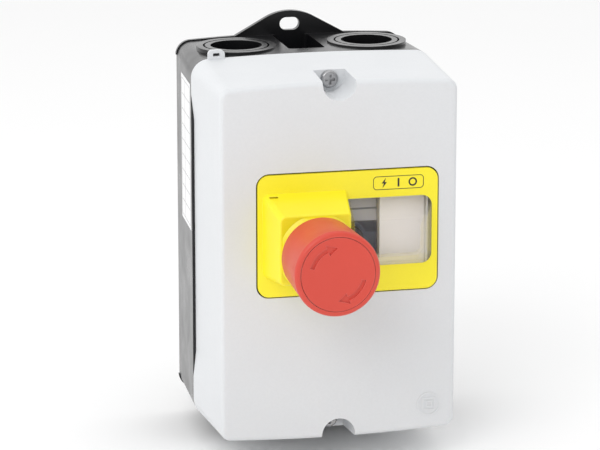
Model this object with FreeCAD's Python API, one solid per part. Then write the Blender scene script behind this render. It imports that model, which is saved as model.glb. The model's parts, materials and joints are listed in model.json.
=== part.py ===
import FreeCAD, Part
import math
import os

# Enclosed magnetic motor starter for a wall: a moulded box with an emergency-stop mushroom.
# Millimetres.  X runs to the right and Z up; the wall is the plane Y = 0.
# Every place is given as x, depth, z, where depth is the distance out from the wall (-Y).

# ---------------------------------------------------------------- driving dimensions: the case
case_width = 120.2        # across the rim, where base and cover meet
case_height = 178.8       # along the rim at its corners
base_depth = 52.2         # wall to rim
cover_depth = 56.0        # rim to face
rear_taper_x = 3.1        # the base narrows towards the wall, each side
rear_taper_z = 0.7
face_taper_x = 2.5        # the cover narrows towards its face, each side
face_taper_z = 3.9
crown_rear = 2.0          # height of the arched top and bottom edges
crown_rim = 1.5
crown_face = 1.9
corner_rear = 7.0
corner_rim = 9.0
corner_face = 5.0
wall = 2.8
floor_thickness = 3.0
face_thickness = 3.0
face_edge_r = 2.2
rim_gap = 0.2             # parting line between base and cover
side_relief = 1.45        # shallow hand relief at the rim of the cover's sides
side_relief_z0 = -69.0
side_relief_z1 = 73.0
side_relief_run = 13.0

# rim seal
rim_band = 7.0            # height of the thickened rim
rim_collar = 2.2          # thickening inside the wall
groove_inset = 1.4
groove_width = 2.2
groove_depth = 3.0
tongue_drop = 0.8
tongue_side_gap = 0.2
seal_gap = 0.1

# cable entries
gland_r = 12.65           # M25 clearance
ring_gap_r = 3.65         # from the entry's wall to the larger knock-out ring
ring_width = 0.9
ring_depth = 3.6
boss_margin = 3.2         # from the larger ring to the boss's edge
boss_proud = 2.9          # boss top above the rear corner height
boss_inside = 3.4
boss_side_gap = 4.6
boss_rim_gap = 3.1
pocket_margin = 4.3
pocket_drop = 12.5
pocket_rim_gap = 10.5
pocket_wall = 2.0
end_margin = 2.0          # the top end's node starts this far under the recess

# wall ears
ear_thickness = 3.0
ear_reach = 14.0          # ear top above the rear corner height
ear_top_r = 25.0
ear_slope_deg = 29.0
ear_slot_length = 10.0
ear_slot_width = 6.4
ear_slot_drop = 6.6       # from ear top to slot centre
foot_proud = 0.6
foot_thickness = 2.4
foot_length = 6.0

# cover screws, M4 with pan heads
cover_screw_inset = 5.0   # from the rim's corner height
cover_screw_r = 2.0
cover_screw_head_r = 4.2
cover_screw_head_t = 2.6
screw_clear = 0.3
pocket_floor_depth = 22.2  # from the face to the screw's seat
screw_pocket_r = 7.8
screw_pocket_face_r = 8.2
screw_pocket_inset = 3.2
insert_r = 2.8
insert_length = 8.4
pillar_r = 5.0
pillar_length = 16.0

# sealing eye on the cover's rim
eye_x_inset = 12.2
eye_width = 8.1
eye_rise = 4.4
eye_thickness = 2.4
eye_corner = 2.2
eye_hole_w = 3.6
eye_hole_h = 1.8
eye_hole_corner = 0.5

# ---------------------------------------------------------------- driving dimensions: inside
rail_width = 35.0
rail_height = 7.5
rail_sheet = 1.0
rail_post = 6.0
stack_x = -1.5            # centre line of breaker and contactor
breaker_width = 45.0
breaker_height = 72.0
breaker_shell = 2.0
pole_wall = 1.2
contactor_height = 50.0
contactor_depth = 57.0
contactor_post = 7.0
link_gap = 2.0
wiring_gap = 9.9          # contactor to the bottom wall
front_gap = 11.2          # breaker's nose to the cover's face
shoulder_drop = 19.0
nose_z0 = 16.0            # the breaker's nose, from its lower end
nose_z1 = 56.0
button_height = 33.4      # buttons above the breaker's lower end
stop_offset = -13.2
start_offset = 9.5
aux_width = 18.0
aux_gap = 0.4
aux_nose_side = 4.2       # its nose is wider than its body, to the right
aux_nose_front = 4.4      # and comes further forward than the breaker's
strip = 1.2               # copper strip thickness
strip_half = 3.0

# ---------------------------------------------------------------- driving dimensions: operator
plate_proud = 0.5
plate_thickness = 2.5
plate_gap = 0.7
plate_corner = 5.6
plate_left = 2.4          # beside the block
plate_right = 9.6         # inside the face's right edge
plate_below = 24.8
plate_above = 34.4
plate_seal_t = 1.0
block_height = 18.0
block_wall = 2.2
block_base = (-22.7, 18.0, -15.4, 25.7)   # about the mushroom's axis
block_front = (-18.3, 15.9, -14.8, 18.6)
block_corner = 3.0
block_right_corner = 1.5
block_edge_r = 1.2
lens_gap = 0.2
lens_wall = 1.8
lens_low = 0.8            # lens front below the block's front
lens_right = 3.0          # inside the plate's right edge
lens_bottom = 12.8
lens_top = 13.4
lens_slope_right = 8.7
lens_slope_bottom = 8.5
lens_slope_top = 6.2
lens_corner = 5.0
lens_left_corner = 1.2
lens_edge_r = 0.9
lens_flange = 1.8
lens_flange_t = 1.2
head_r = 20.2
head_rear_r = 18.95
head_length = 33.2
head_gap = 5.7            # mushroom's rear edge above the block
head_wall = 1.95
head_top_t = 8.5
head_edge_r = 2.0
cap_r = 18.9
cap_thickness = 2.2
cap_gap = 0.25
arrow_width = 2.0
arrow_depth = 0.7
stem_r = 5.0
running = 0.08            # running fits, radial
thread_gap = 0.05         # cover screws in their inserts, radial
hub_r = 11.5
hub_bore_r = 7.9
hub_thread_r = 9.9
hub_top_gap = 0.6
hub_cone_r = 19.1
hub_cone_top_r = 17.2
hub_cone_h = 1.4
hub_tail = 16.8           # hub below the block's front
nut_r = 12.4
nut_t = 4.0
pusher_r = 6.5
pusher_t = 2.5
spring_steps = 12         # wire sections in one turn of a spring
spring_sides = 8          # flats round a spring's wire
press_gap = 0.1

# ---------------------------------------------------------------- derived places
rim_hw = case_width / 2
rim_hh = case_height / 2
rear_hw = rim_hw - rear_taper_x
rear_hh = rim_hh - rear_taper_z
face_hw = rim_hw - face_taper_x
face_hh = rim_hh - face_taper_z
face_d = base_depth + cover_depth
ring_r = gland_r + ring_gap_r
boss_r = ring_r + boss_margin
gland_x = rear_hw - boss_r - boss_side_gap
gland_d = base_depth - boss_rim_gap - boss_r
boss_top = rear_hh + boss_proud
pocket_hw = gland_x - boss_r - pocket_margin
pocket_d1 = base_depth - pocket_rim_gap
pocket_z0 = boss_top - pocket_drop
cover_screw_z = rim_hh - cover_screw_inset
screw_seat_d = face_d - pocket_floor_depth

contactor_z0 = -(rear_hh - wall) + wiring_gap
contactor_z1 = contactor_z0 + contactor_height
contactor_zc = (contactor_z0 + contactor_z1) / 2
breaker_z0 = contactor_z1 + link_gap
breaker_z1 = breaker_z0 + breaker_height
breaker_x0 = stack_x - breaker_width / 2
breaker_x1 = stack_x + breaker_width / 2
rail_z = (breaker_z0 + breaker_z1) / 2
rail_back_d = floor_thickness + rail_post
rail_front_d = rail_back_d + rail_height
breaker_back_d = rail_front_d
nose_d = face_d - front_gap
shoulder_d = nose_d - shoulder_drop
pole_inner = breaker_width - 2 * breaker_shell
pole_pitch = (pole_inner + pole_wall) / 3
pole_x = [stack_x - pole_pitch, stack_x, stack_x + pole_pitch]
pole_half = (pole_pitch - pole_wall) / 2
aux_x0 = breaker_x1 + aux_gap
aux_x1 = aux_x0 + aux_width
contactor_d0 = floor_thickness + contactor_post
contactor_d1 = contactor_d0 + contactor_depth

axis_x = stack_x + stop_offset
axis_z = breaker_z0 + button_height
start_x = stack_x + start_offset
plate_d1 = face_d + plate_proud
plate_d0 = plate_d1 - plate_thickness
plate_seat_d = plate_d0 - plate_seal_t
plate_x0 = axis_x + block_base[0] - plate_left
plate_x1 = face_hw - plate_right
plate_z0 = axis_z - plate_below
plate_z1 = axis_z + plate_above
block_d1 = plate_d1 + block_height
lens_x0 = axis_x + block_base[1] + lens_gap
lens_front_x0 = axis_x + block_front[1] + lens_gap
lens_x1 = plate_x1 - lens_right
lens_z0 = plate_z0 + lens_bottom
lens_z1 = plate_z1 - lens_top
lens_d1 = block_d1 - lens_low
head_d0 = block_d1 + head_gap
head_d1 = head_d0 + head_length
head_floor_d = head_d1 - head_top_t
hub_d0 = block_d1 - hub_tail
hub_d1 = head_d0 + hub_top_gap
stop_top_d = hub_d0 - 6.8
pusher_d0 = stop_top_d + press_gap
pusher_d1 = pusher_d0 + pusher_t


# ---------------------------------------------------------------- building blocks
def at(x, d, z):
    return FreeCAD.Vector(x, -d, z)


OUT = FreeCAD.Vector(0, -1, 0)
UP = FreeCAD.Vector(0, 0, 1)
RIGHT = FreeCAD.Vector(1, 0, 0)


def block(x0, x1, d0, d1, z0, z1):
    return Part.makeBox(x1 - x0, d1 - d0, z1 - z0, at(x0, d1, z0))


def rod(x, z, r, d0, d1):
    return Part.makeCylinder(r, d1 - d0, at(x, d0, z), OUT)


def rod_z(x, d, r, z0, z1):
    return Part.makeCylinder(r, z1 - z0, at(x, d, z0), UP)


def tube(x, z, r_out, r_in, d0, d1):
    return rod(x, z, r_out, d0, d1).cut(rod(x, z, r_in, d0 - 1, d1 + 1))


def cone(x, z, r0, r1, d0, d1):
    return Part.makeCone(r0, r1, d1 - d0, at(x, d0, z), OUT)


def join(shapes):
    first = shapes[0]
    if len(shapes) == 1:
        return first
    return first.fuse(shapes[1:]).removeSplitter()


def group(shapes):
    return Part.makeCompound(shapes)


def soften(shape, radius, chosen):
    edges = [edge for edge in shape.Edges if chosen(edge)]
    return shape.makeFillet(radius, edges)


def along(edge, direction):
    """True for a straight edge that runs along the direction."""
    if edge.Curve.TypeId != "Part::GeomLine":
        return False
    step = edge.Vertexes[-1].Point.sub(edge.Vertexes[0].Point)
    return abs(abs(step.dot(direction)) - step.Length) < 1e-6


def arc(a, b, c):
    return Part.Arc(a, b, c).toShape()


def line(a, b):
    return Part.LineSegment(a, b).toShape()


def crowned_outline(hw, hh, corner, crown, d):
    """Rounded rectangle whose top and bottom edges are arched outwards."""
    x = hw - corner
    z = hh + crown * (1 - (x / hw) ** 2)
    s = corner * math.sqrt(0.5)
    c = z - corner
    return Part.Wire([
        line(at(hw, d, -c), at(hw, d, c)),
        arc(at(hw, d, c), at(x + s, d, c + s), at(x, d, z)),
        arc(at(x, d, z), at(0, d, hh + crown), at(-x, d, z)),
        arc(at(-x, d, z), at(-x - s, d, c + s), at(-hw, d, c)),
        line(at(-hw, d, c), at(-hw, d, -c)),
        arc(at(-hw, d, -c), at(-x - s, d, -c - s), at(-x, d, -z)),
        arc(at(-x, d, -z), at(0, d, -hh - crown), at(x, d, -z)),
        arc(at(x, d, -z), at(x + s, d, -c - s), at(hw, d, -c)),
    ])


def mixed(a, b, share):
    return a + (b - a) * share


def base_outline(d, inset=0.0):
    s = d / base_depth
    return crowned_outline(
        mixed(rear_hw, rim_hw, s) - inset,
        mixed(rear_hh, rim_hh, s) - inset,
        max(mixed(corner_rear, corner_rim, s) - inset, 1.0),
        mixed(crown_rear, crown_rim, s), d)


def cover_outline(d, inset=0.0):
    s = (d - base_depth) / cover_depth
    return crowned_outline(
        mixed(rim_hw, face_hw, s) - inset,
        mixed(rim_hh, face_hh, s) - inset,
        max(mixed(corner_rim, corner_face, s) - inset, 1.0),
        mixed(crown_rim, crown_face, s), d)


def loft(*wires):
    return Part.makeLoft(list(wires), True, True)


def base_prism(d0, d1, inset=0.0):
    return loft(base_outline(d0, inset), base_outline(d1, inset))


def cover_prism(d0, d1, inset=0.0):
    return loft(cover_outline(d0, inset), cover_outline(d1, inset))


def rounded_rect(x0, x1, z0, z1, d, r_left, r_right):
    """Rectangle outline with its own corner radius on each side."""
    k = 1 - math.sqrt(0.5)
    corners = [
        (x1, z0, -1, 1, r_right),
        (x1, z1, -1, -1, r_right),
        (x0, z1, 1, -1, r_left),
        (x0, z0, 1, 1, r_left),
    ]
    edges = []
    ends = []
    for index, (x, z, sx, sz, r) in enumerate(corners):
        on_side = at(x, d, z + sz * r)
        on_end = at(x + sx * r, d, z)
        middle = at(x + sx * r * k, d, z + sz * r * k)
        first, last = (on_end, on_side) if index % 2 == 0 else (on_side, on_end)
        ends.append((first, last, middle))
    for index, (first, last, middle) in enumerate(ends):
        edges.append(arc(first, middle, last))
        edges.append(line(last, ends[(index + 1) % 4][0]))
    return Part.Wire(edges)


def slab(x0, x1, d0, d1, z0, z1, r):
    wire = rounded_rect(x0, x1, z0, z1, d0, r, r)
    return Part.Face(wire).extrude(OUT * (d1 - d0))


def helix_spring(x, z, mean_r, wire_r, d0, d1, turns):
    """Compression spring along the depth, its wire just inside d0 and d1."""
    rise = d1 - d0 - 2 * wire_r
    lead = math.degrees(math.atan2(rise / turns, 2 * math.pi * mean_r))
    steps = turns * spring_steps
    turn = 2 * math.pi / spring_sides
    corners = [
        FreeCAD.Vector(mean_r + wire_r * math.cos(turn * i), 0, wire_r * math.sin(turn * i))
        for i in range(spring_sides)
    ]
    sections = []
    for k in range(steps + 1):
        ring = Part.makePolygon(corners + corners[:1])
        ring.rotate(FreeCAD.Vector(mean_r, 0, 0), RIGHT, lead)
        ring.rotate(FreeCAD.Vector(0, 0, 0), UP, 360 / spring_steps * k)
        ring.translate(UP * (rise * k / steps))
        sections.append(ring)
    coil = Part.makeLoft(sections, True, True)
    coil.rotate(FreeCAD.Vector(0, 0, 0), RIGHT, 90)
    coil.translate(at(x, d0 + wire_r, z))
    return coil


def cross_recess(x, z, d, size, depth):
    """Cross-shaped driver recess cut into a screw head whose top is at depth d."""
    half = size / 2
    thin = size / 7
    return join([
        block(x - half, x + half, d - depth, d + 1, z - thin, z + thin),
        block(x - thin, x + thin, d - depth, d + 1, z - half, z + half),
    ])


def pan_screw(x, z, shank_r, head_r_, head_t, d_seat, d_tip):
    """Screw pointing at the wall, its head standing out from d_seat."""
    head = rod(x, z, head_r_, d_seat, d_seat + head_t)
    top = d_seat + head_t
    head = soften(head, head_t * 0.45, lambda e: e.BoundBox.YMax < -top + 0.01)
    shank = rod(x, z, shank_r, d_tip, d_seat)
    screw = head.fuse(shank).removeSplitter()
    return screw.cut(cross_recess(x, z, top, head_r_ * 1.15, head_t * 0.6))


# ---------------------------------------------------------------- the base
def ear(sign):
    """Bell-shaped wall ear with a slotted hole; sign is +1 at the top, -1 at the bottom."""
    top = rear_hh + ear_reach
    slope = math.radians(ear_slope_deg)
    tx = ear_top_r * math.sin(slope)
    tz = top - ear_top_r * (1 - math.cos(slope))
    foot_z = rear_hh - 6
    fx = tx + (tz - foot_z) / math.tan(slope)
    wire = Part.Wire([
        line(at(-fx, 0, foot_z), at(-tx, 0, tz)),
        arc(at(-tx, 0, tz), at(0, 0, top), at(tx, 0, tz)),
        line(at(tx, 0, tz), at(fx, 0, foot_z)),
        line(at(fx, 0, foot_z), at(-fx, 0, foot_z)),
    ])
    plate = Part.Face(wire).extrude(OUT * ear_thickness)
    r = ear_slot_width / 2
    half = ear_slot_length / 2
    z = top - ear_slot_drop
    plate = plate.cut(slab(-half, half, -1, ear_thickness + 1, z - r, z + r, r - 0.01))
    if sign < 0:
        plate = plate.mirror(FreeCAD.Vector(0, 0, 0), UP)
    return plate


def corner_feet():
    """Small pads that stand proud of the base's rear corners."""
    pads = loft(base_outline(0, -foot_proud), base_outline(foot_thickness, -foot_proud))
    keep_z = rear_hh - foot_length
    keep = [
        block(sx - 30, sx + 30, -1, foot_thickness + 1, sz * (keep_z + 20) - 20, sz * (keep_z + 20) + 20)
        for sx in (-rear_hw, rear_hw) for sz in (-1, 1)
    ]
    return pads.common(join(keep))


def knockout_rings(x, sign, z_top):
    ring = rod_z(x, gland_d, ring_r, z_top - ring_depth, z_top + 1)
    ring = ring.cut(rod_z(x, gland_d, ring_r - ring_width, z_top - ring_depth - 1, z_top + 2))
    if sign < 0:
        ring = ring.mirror(FreeCAD.Vector(0, 0, 0), UP)
    return ring


def entry_boss(x, sign):
    boss = rod_z(x, gland_d, boss_r, rear_hh - wall - boss_inside, boss_top)
    if sign < 0:
        boss = boss.mirror(FreeCAD.Vector(0, 0, 0), UP)
    return boss


def screw_pocket_walls(sign):
    """Walls of the recess between the two entry bosses."""
    out = pocket_hw + pocket_wall
    box = block(-out, out, 1, pocket_d1 + pocket_wall, pocket_z0 - pocket_wall, rear_hh)
    if sign < 0:
        box = box.mirror(FreeCAD.Vector(0, 0, 0), UP)
    return box


def screw_pocket_hollow(sign):
    box = block(-pocket_hw, pocket_hw, ear_thickness, pocket_d1, pocket_z0, rear_hh + 10)
    box = soften(box, 2.0, lambda e: along(e, UP))
    if sign < 0:
        box = box.mirror(FreeCAD.Vector(0, 0, 0), UP)
    return box


def base_posts():
    """Posts for the rail, the contactor and the earth terminal."""
    posts = []
    for x in rail_screw_x:
        posts.append(block(x - 5, x + 5, 1, rail_back_d, rail_z - 6, rail_z + 6))
    for x, z in contactor_screw_at:
        posts.append(rod(x, z, 4.0, 1, contactor_d0))
    posts.append(block(earth_x - 5.5, earth_x + 5.5, 1, earth_d, earth_z - 12, earth_z + 12))
    return posts


def base_pilots():
    holes = []
    for x in rail_screw_x:
        holes.append(rod(x, rail_z, rail_screw_r, floor_thickness, rail_back_d + 1))
    for x, z in contactor_screw_at:
        holes.append(rod(x, z, rail_screw_r, floor_thickness, contactor_d0 + 1))
    holes.append(rod(earth_x, earth_z, rail_screw_r, floor_thickness, earth_d + 1))
    return holes


rail_screw_r = 1.75
rail_screw_x = [breaker_x0 + 6, aux_x1 - 6]
rail_x0 = breaker_x0 - 3
rail_x1 = aux_x1 + 3
contactor_screw_at = [
    (breaker_x0 - 4.5, contactor_zc - 14),
    (breaker_x1 + 4.5, contactor_zc + 14),
]
earth_x = breaker_x0 - 15.0
earth_z = breaker_z0 + 8
earth_d = 12.0
earth_clamp_z = 7.0
earth_clamp_r = 1.6


def enclosure_base():
    outer = base_prism(0, base_depth)
    solids = [outer, corner_feet()]
    for sign in (1, -1):
        solids.append(ear(sign))
        solids.extend(entry_boss(x, sign) for x in (-gland_x, gland_x))
    body = join(solids)
    hollow = join([
        base_prism(floor_thickness, base_depth - rim_band, wall),
        base_prism(base_depth - rim_band - 0.5, base_depth + 1, wall + rim_collar),
    ])
    inside = []
    limit = base_prism(0.5, base_depth, wall / 2)
    for sign in (1, -1):
        inside.append(screw_pocket_walls(sign))
        inside.extend(entry_boss(x, sign) for x in (-gland_x, gland_x))
        z = sign * cover_screw_z
        inside.append(rod(0, z, pillar_r, base_depth - pillar_length, base_depth))
    kept = join(inside).common(limit)
    body = body.cut(hollow.cut(kept).cut(join(base_posts())))
    groove = base_prism(base_depth - groove_depth, base_depth + 1, groove_inset)
    groove_in = groove_inset + groove_width
    groove = groove.cut(base_prism(base_depth - groove_depth - 1, base_depth + 2, groove_in))
    cuts = [groove]
    cuts.extend(base_pilots())
    for sign in (1, -1):
        cuts.append(screw_pocket_hollow(sign))
        for x in (-gland_x, gland_x):
            cuts.append(knockout_rings(x, sign, boss_top))
            cuts.append(entry_bore(x, sign))
        z = sign * cover_screw_z
        seat = base_depth - groove_depth - 0.8
        cuts.append(rod(0, z, insert_r, seat - insert_length, seat))
        cuts.append(rod(0, z, cover_screw_r + screw_clear, seat - insert_length - 2, base_depth + 1))
    return body.cut(join(cuts))


def base_parts():
    """The moulding in two nodes: the trough, and the top end with its two cable entries."""
    whole = enclosure_base()
    top_end = block(-200, 200, -50, 200, pocket_z0 - pocket_wall - end_margin, 300)
    return whole.cut(top_end), whole.common(top_end)


def entry_bore(x, sign):
    """Open entry at the top; at the bottom a closed knock-out with a thin break line."""
    if sign > 0:
        return rod_z(x, gland_d, gland_r, rear_hh - 12, boss_top + 2)
    web = 1.2
    ring = rod_z(x, gland_d, gland_r, -boss_top - 1, -boss_top + ring_depth)
    core = rod_z(x, gland_d, gland_r - ring_width, -boss_top + web, -boss_top + ring_depth + 1)
    return ring.cut(core)


def rating_label():
    """Blank data label on the base's left side, its plane following the side's taper."""
    d0 = 18.0
    d1 = 49.5
    z0 = 4.3
    z1 = 77.0
    thickness = 0.15
    sheet = base_prism(d0, d1, -thickness).cut(base_prism(d0 - 1, d1 + 1, 0.0))
    return sheet.common(block(-rim_hw - 2, 0, d0, d1, z0, z1))


def base_gasket():
    top = base_depth - tongue_drop + rim_gap - seal_gap
    bottom = base_depth - groove_depth
    ring = base_prism(bottom, top, groove_inset)
    return ring.cut(base_prism(bottom - 1, top + 1, groove_inset + groove_width))


def screw_inserts():
    seat = base_depth - groove_depth - 0.8
    return group([
        tube(0, sign * cover_screw_z, insert_r, cover_screw_r + thread_gap, seat - insert_length, seat)
        for sign in (1, -1)
    ])


# ---------------------------------------------------------------- rail and its screws
def din_rail():
    half = rail_width / 2
    inner = half - 4.5
    web = block(rail_x0, rail_x1, rail_back_d, rail_back_d + rail_sheet, rail_z - inner, rail_z + inner)
    parts = [web]
    for sign in (1, -1):
        a = rail_z + sign * inner
        b = rail_z + sign * (inner - rail_sheet)
        parts.append(block(rail_x0, rail_x1, rail_back_d, rail_front_d, min(a, b), max(a, b)))
        c = rail_z + sign * half
        lip_d = rail_front_d - rail_sheet
        parts.append(block(rail_x0, rail_x1, lip_d, rail_front_d, min(b, c), max(b, c)))
    rail = join(parts)
    for x in rail_screw_x:
        rail = rail.cut(rod(x, rail_z, rail_screw_r + 0.3, 0, rail_front_d))
    return rail


def mounting_screws():
    """Screws in the base: for the rail, the contactor and the earth terminal, and its wire clamps."""
    length = 6.5
    rail_seat = rail_back_d + rail_sheet
    spots = [(x, rail_z, rail_seat) for x in rail_screw_x]
    spots.extend((x, z, contactor_d0 + 3) for x, z in contactor_screw_at)
    spots.append((earth_x, earth_z, earth_d + 6))
    screws = [pan_screw(x, z, rail_screw_r, 3.2, 2.2, seat, seat - length) for x, z, seat in spots]
    for sign in (1, -1):
        z = earth_z + sign * earth_clamp_z
        screws.append(pan_screw(earth_x, z, earth_clamp_r, 3.0, 2.2, earth_d + 9, earth_d + 5.4))
    return group(screws)


# ---------------------------------------------------------------- motor-protection breaker
line_z = breaker_z1 - 11.0
load_z = breaker_z0 + 11.0
terminal_d = shoulder_d - 18.0
screw_hole_r = 3.5
terminal_screw_r = 1.9
terminal_head_r = 3.1
nut_plate_t = 3.5


def breaker_profile(x0, x1):
    """Stepped body: full height at the shoulders, narrower nose."""
    return join([
        block(x0, x1, breaker_back_d, shoulder_d, breaker_z0, breaker_z1),
        block(x0, x1, shoulder_d - 1, nose_d, breaker_z0 + nose_z0, breaker_z0 + nose_z1),
    ])


def breaker_cavity(x0, x1, t):
    return join([
        block(x0 + t, x1 - t, breaker_back_d + t, shoulder_d - t, breaker_z0 + t, breaker_z1 - t),
        block(x0 + t, x1 - t, shoulder_d - t - 1, nose_d - t, breaker_z0 + nose_z0 + t,
              breaker_z0 + nose_z1 - t),
    ])


def rail_hook(x0, x1):
    """Fixed claw that hangs the device on the rail's upper flange."""
    z = rail_z + rail_width / 2
    return join([
        block(x0 + 4, x1 - 4, rail_front_d - 3, breaker_back_d + 0.5, z, z + 3),
        block(x0 + 4, x1 - 4, rail_front_d - 3, rail_front_d - rail_sheet - 0.2, z - 2, z + 3),
    ])


def breaker_split():
    return shoulder_d - 22.0


def breaker_shells():
    t = breaker_shell
    shell = breaker_profile(breaker_x0, breaker_x1)
    shell = shell.cut(breaker_cavity(breaker_x0, breaker_x1, t))
    walls = []
    for side in (-0.5, 0.5):
        x = stack_x + side * pole_pitch
        walls.append(block(x - pole_wall / 2, x + pole_wall / 2, breaker_back_d + t - 0.1,
                           shoulder_d - t + 0.1, breaker_z0 + t - 0.1, breaker_z1 - t + 0.1))
    for x in pole_x:
        walls.append(block(x - 3, x + 3, coil_d - 3, coil_d + 3, breaker_z0 + t - 0.1, coil_z0))
    shell = join([shell, rail_hook(breaker_x0, breaker_x1)] + walls)
    cuts = [bar_room()]
    for x in pole_x:
        for z in (line_z, load_z):
            cuts.append(rod(x, z, screw_hole_r, terminal_d + 3, shoulder_d + 1))
        for z in (breaker_z0 + t / 2, breaker_z1 - t / 2):
            cuts.append(block(x - wire_way_half, x + wire_way_half, terminal_d - wire_way_drop,
                              terminal_d + 0.4, z - t, z + t))
    cuts.append(rod(axis_x, axis_z, button_r + button_clear, nose_d - t - 1, nose_d + 1))
    cuts.append(rod(start_x, axis_z, button_r + button_clear, nose_d - t - 1, nose_d + 1))
    cuts.append(rod(stack_x, dial_z, dial_r + button_clear, nose_d - t - 1, nose_d + 1))
    stem_d = guide_d - button_stem_drop - start_travel - 0.6
    cuts.append(rod(start_x, axis_z, button_stem_r + 0.4, stem_d, shoulder_d - t + 0.3))
    shell = shell.cut(join(cuts))
    split = breaker_split()
    lower = shell.common(block(-200, 200, 0, split, -200, 200))
    upper = shell.common(block(-200, 200, split, 300, -200, 200))
    return lower, upper


button_r = 5.5
button_flange_r = 7.0
button_flange_t = 1.6
button_clear = 0.15
button_stem_r = 2.4
button_stem_drop = 4.0
start_travel = 3.5
wire_way_half = 4.0
wire_way_drop = 11.0
dial_r = 4.5
dial_z = axis_z - 10.0
guide_t = 2.0
guide_d = nose_d - 15.0


def push_button(x, top_d):
    """Push-button with a flange under the housing and a stem through the guide plate."""
    flange_d1 = nose_d - breaker_shell - 0.1
    cap = rod(x, axis_z, button_r, flange_d1 - 0.5, top_d)
    cap = soften(cap, 0.8, lambda e: e.BoundBox.YMax < -top_d + 0.01)
    flange = rod(x, axis_z, button_flange_r, flange_d1 - button_flange_t, flange_d1)
    stem = rod(x, axis_z, button_stem_r, guide_d - button_stem_drop, flange_d1 - button_flange_t + 0.5)
    return join([cap, flange, stem])


def button_spring(x):
    top = nose_d - breaker_shell - 0.1 - button_flange_t
    return helix_spring(x, axis_z, 3.6, 0.35, guide_d + guide_t, top, 4)


def guide_plate():
    """Plate across the breaker's nose that guides the buttons and carries the dial."""
    t = breaker_shell
    plate = block(breaker_x0 + t, breaker_x1 - t, guide_d, guide_d + guide_t,
                  breaker_z0 + nose_z0 + t, breaker_z0 + nose_z1 - t)
    hole_r = button_stem_r + running
    holes = [rod(x, axis_z, hole_r, guide_d - 1, guide_d + guide_t + 1) for x in (axis_x, start_x)]
    holes.append(rod(stack_x, dial_z, 2.0 + running, guide_d - 1, guide_d + guide_t + 1))
    return plate.cut(join(holes))


def trip_dial():
    """Current-setting dial with a screwdriver slot."""
    top = nose_d + 0.8
    body = join([
        rod(stack_x, dial_z, dial_r, nose_d - 8, top),
        rod(stack_x, dial_z, 2.0, guide_d - 2, nose_d - 7),
    ])
    slot = block(stack_x - dial_r - 1, stack_x + dial_r - 1.2, top - 1.2, top + 1,
                 dial_z - 0.6, dial_z + 0.6)
    return body.cut(slot)


bar_height = 6.0
bar_z0 = axis_z - bar_height / 2
bar_z1 = bar_z0 + bar_height
contact_d = breaker_back_d + 27.0
bar_d0 = contact_d - 6.0
rod_x = pole_x[0] + 4.6
rod_r = 1.3
crosshead_t = 3.9


def bar_room():
    """Window through the pole walls for the contact bar."""
    half = pole_inner / 2 - 3
    return block(stack_x - half, stack_x + half, contact_d - 13, contact_d + 3, bar_z0 - 2, bar_z1 + 2)


def contact_bar():
    """Moulded bar across the poles, with a rod and crosshead that the stop button presses."""
    half = pole_inner / 2 - 0.15
    bar = block(stack_x - half, stack_x + half, bar_d0, contact_d - strip - 0.1, bar_z0, bar_z1)
    top = guide_d - 4.1
    shaft = rod(rod_x, axis_z, rod_r, contact_d - strip - 0.2, top - 1)
    head = block(axis_x - 3, rod_x + rod_r, top - crosshead_t, top, axis_z - 2.4, axis_z + 2.4)
    return join([bar, shaft, head])


def bar_springs():
    """Springs that press the contact bar forward, one in each outer pole."""
    d0 = breaker_back_d + breaker_shell
    return group([helix_spring(x, axis_z, 1.9, 0.3, d0, bar_d0, 7) for x in (pole_x[0], pole_x[2])])


def breaker_moving_contacts():
    half = 2.6
    front = contact_d - 0.1
    low = bar_z0 - 8
    high = bar_z1 + 8
    return group([block(x - half, x + half, front - strip, front, low, high) for x in pole_x])


def terminal_strip(x, z_inner, z_outer, z_leg):
    """Terminal tongue with a leg down to the contact plane, and a hole for its screw."""
    tongue = block(x - strip_half, x + strip_half, terminal_d, terminal_d + strip,
                   min(z_inner, z_outer), max(z_inner, z_outer))
    leg = block(x - strip_half, x + strip_half, contact_d, terminal_d + strip,
                min(z_leg, z_inner), max(z_leg, z_inner))
    wing = 3.0 if z_outer > z_inner else -3.0
    wings = block(x - pole_half, x + pole_half, terminal_d, terminal_d + strip,
                  min(z_inner, z_inner + wing), max(z_inner, z_inner + wing))
    z_screw = line_z if z_outer > z_inner else load_z
    hole = rod(x, z_screw, terminal_screw_r + 0.15, terminal_d - 2, terminal_d + 4)
    return join([tongue, leg, wings]).cut(hole)


def breaker_line_strips():
    inner = bar_z1 + 6
    return group([terminal_strip(x, inner, breaker_z1 - 4, inner - strip) for x in pole_x])


def breaker_load_strips():
    inner = bar_z0 - 6
    return group([terminal_strip(x, inner, breaker_z0 + 4, inner + strip) for x in pole_x])


def breaker_nuts():
    nuts = []
    for x in pole_x:
        for z in (line_z, load_z):
            d1 = terminal_d if z == line_z else terminal_d - strip
            nut = block(x - 4, x + 4, d1 - nut_plate_t, d1, z - 4, z + 4)
            nuts.append(nut.cut(rod(x, z, terminal_screw_r, 0, d1 + 1)))
    return group(nuts)


def breaker_terminal_screws():
    seat = terminal_d + strip
    tip = terminal_d - strip - 0.5 - nut_plate_t
    spots = [(x, z) for x in pole_x for z in (line_z, load_z)]
    return group([pan_screw(x, z, terminal_screw_r, terminal_head_r, 2.6, seat, tip) for x, z in spots])


coil_d = contact_d - 8.0
coil_r = 4.6
coil_bore_r = 2.3
coil_length = 11.5
plunger_travel = 3.0
coil_z0 = breaker_z0 + 10.0
bimetal_d = breaker_back_d + 8.0


def trip_coils():
    """Magnetic release coils, one a pole."""
    z1 = coil_z0 + coil_length
    return group([
        rod_z(x, coil_d, coil_r, coil_z0, z1).cut(rod_z(x, coil_d, coil_bore_r, coil_z0 - 1, z1 + 1))
        for x in pole_x
    ])


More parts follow.
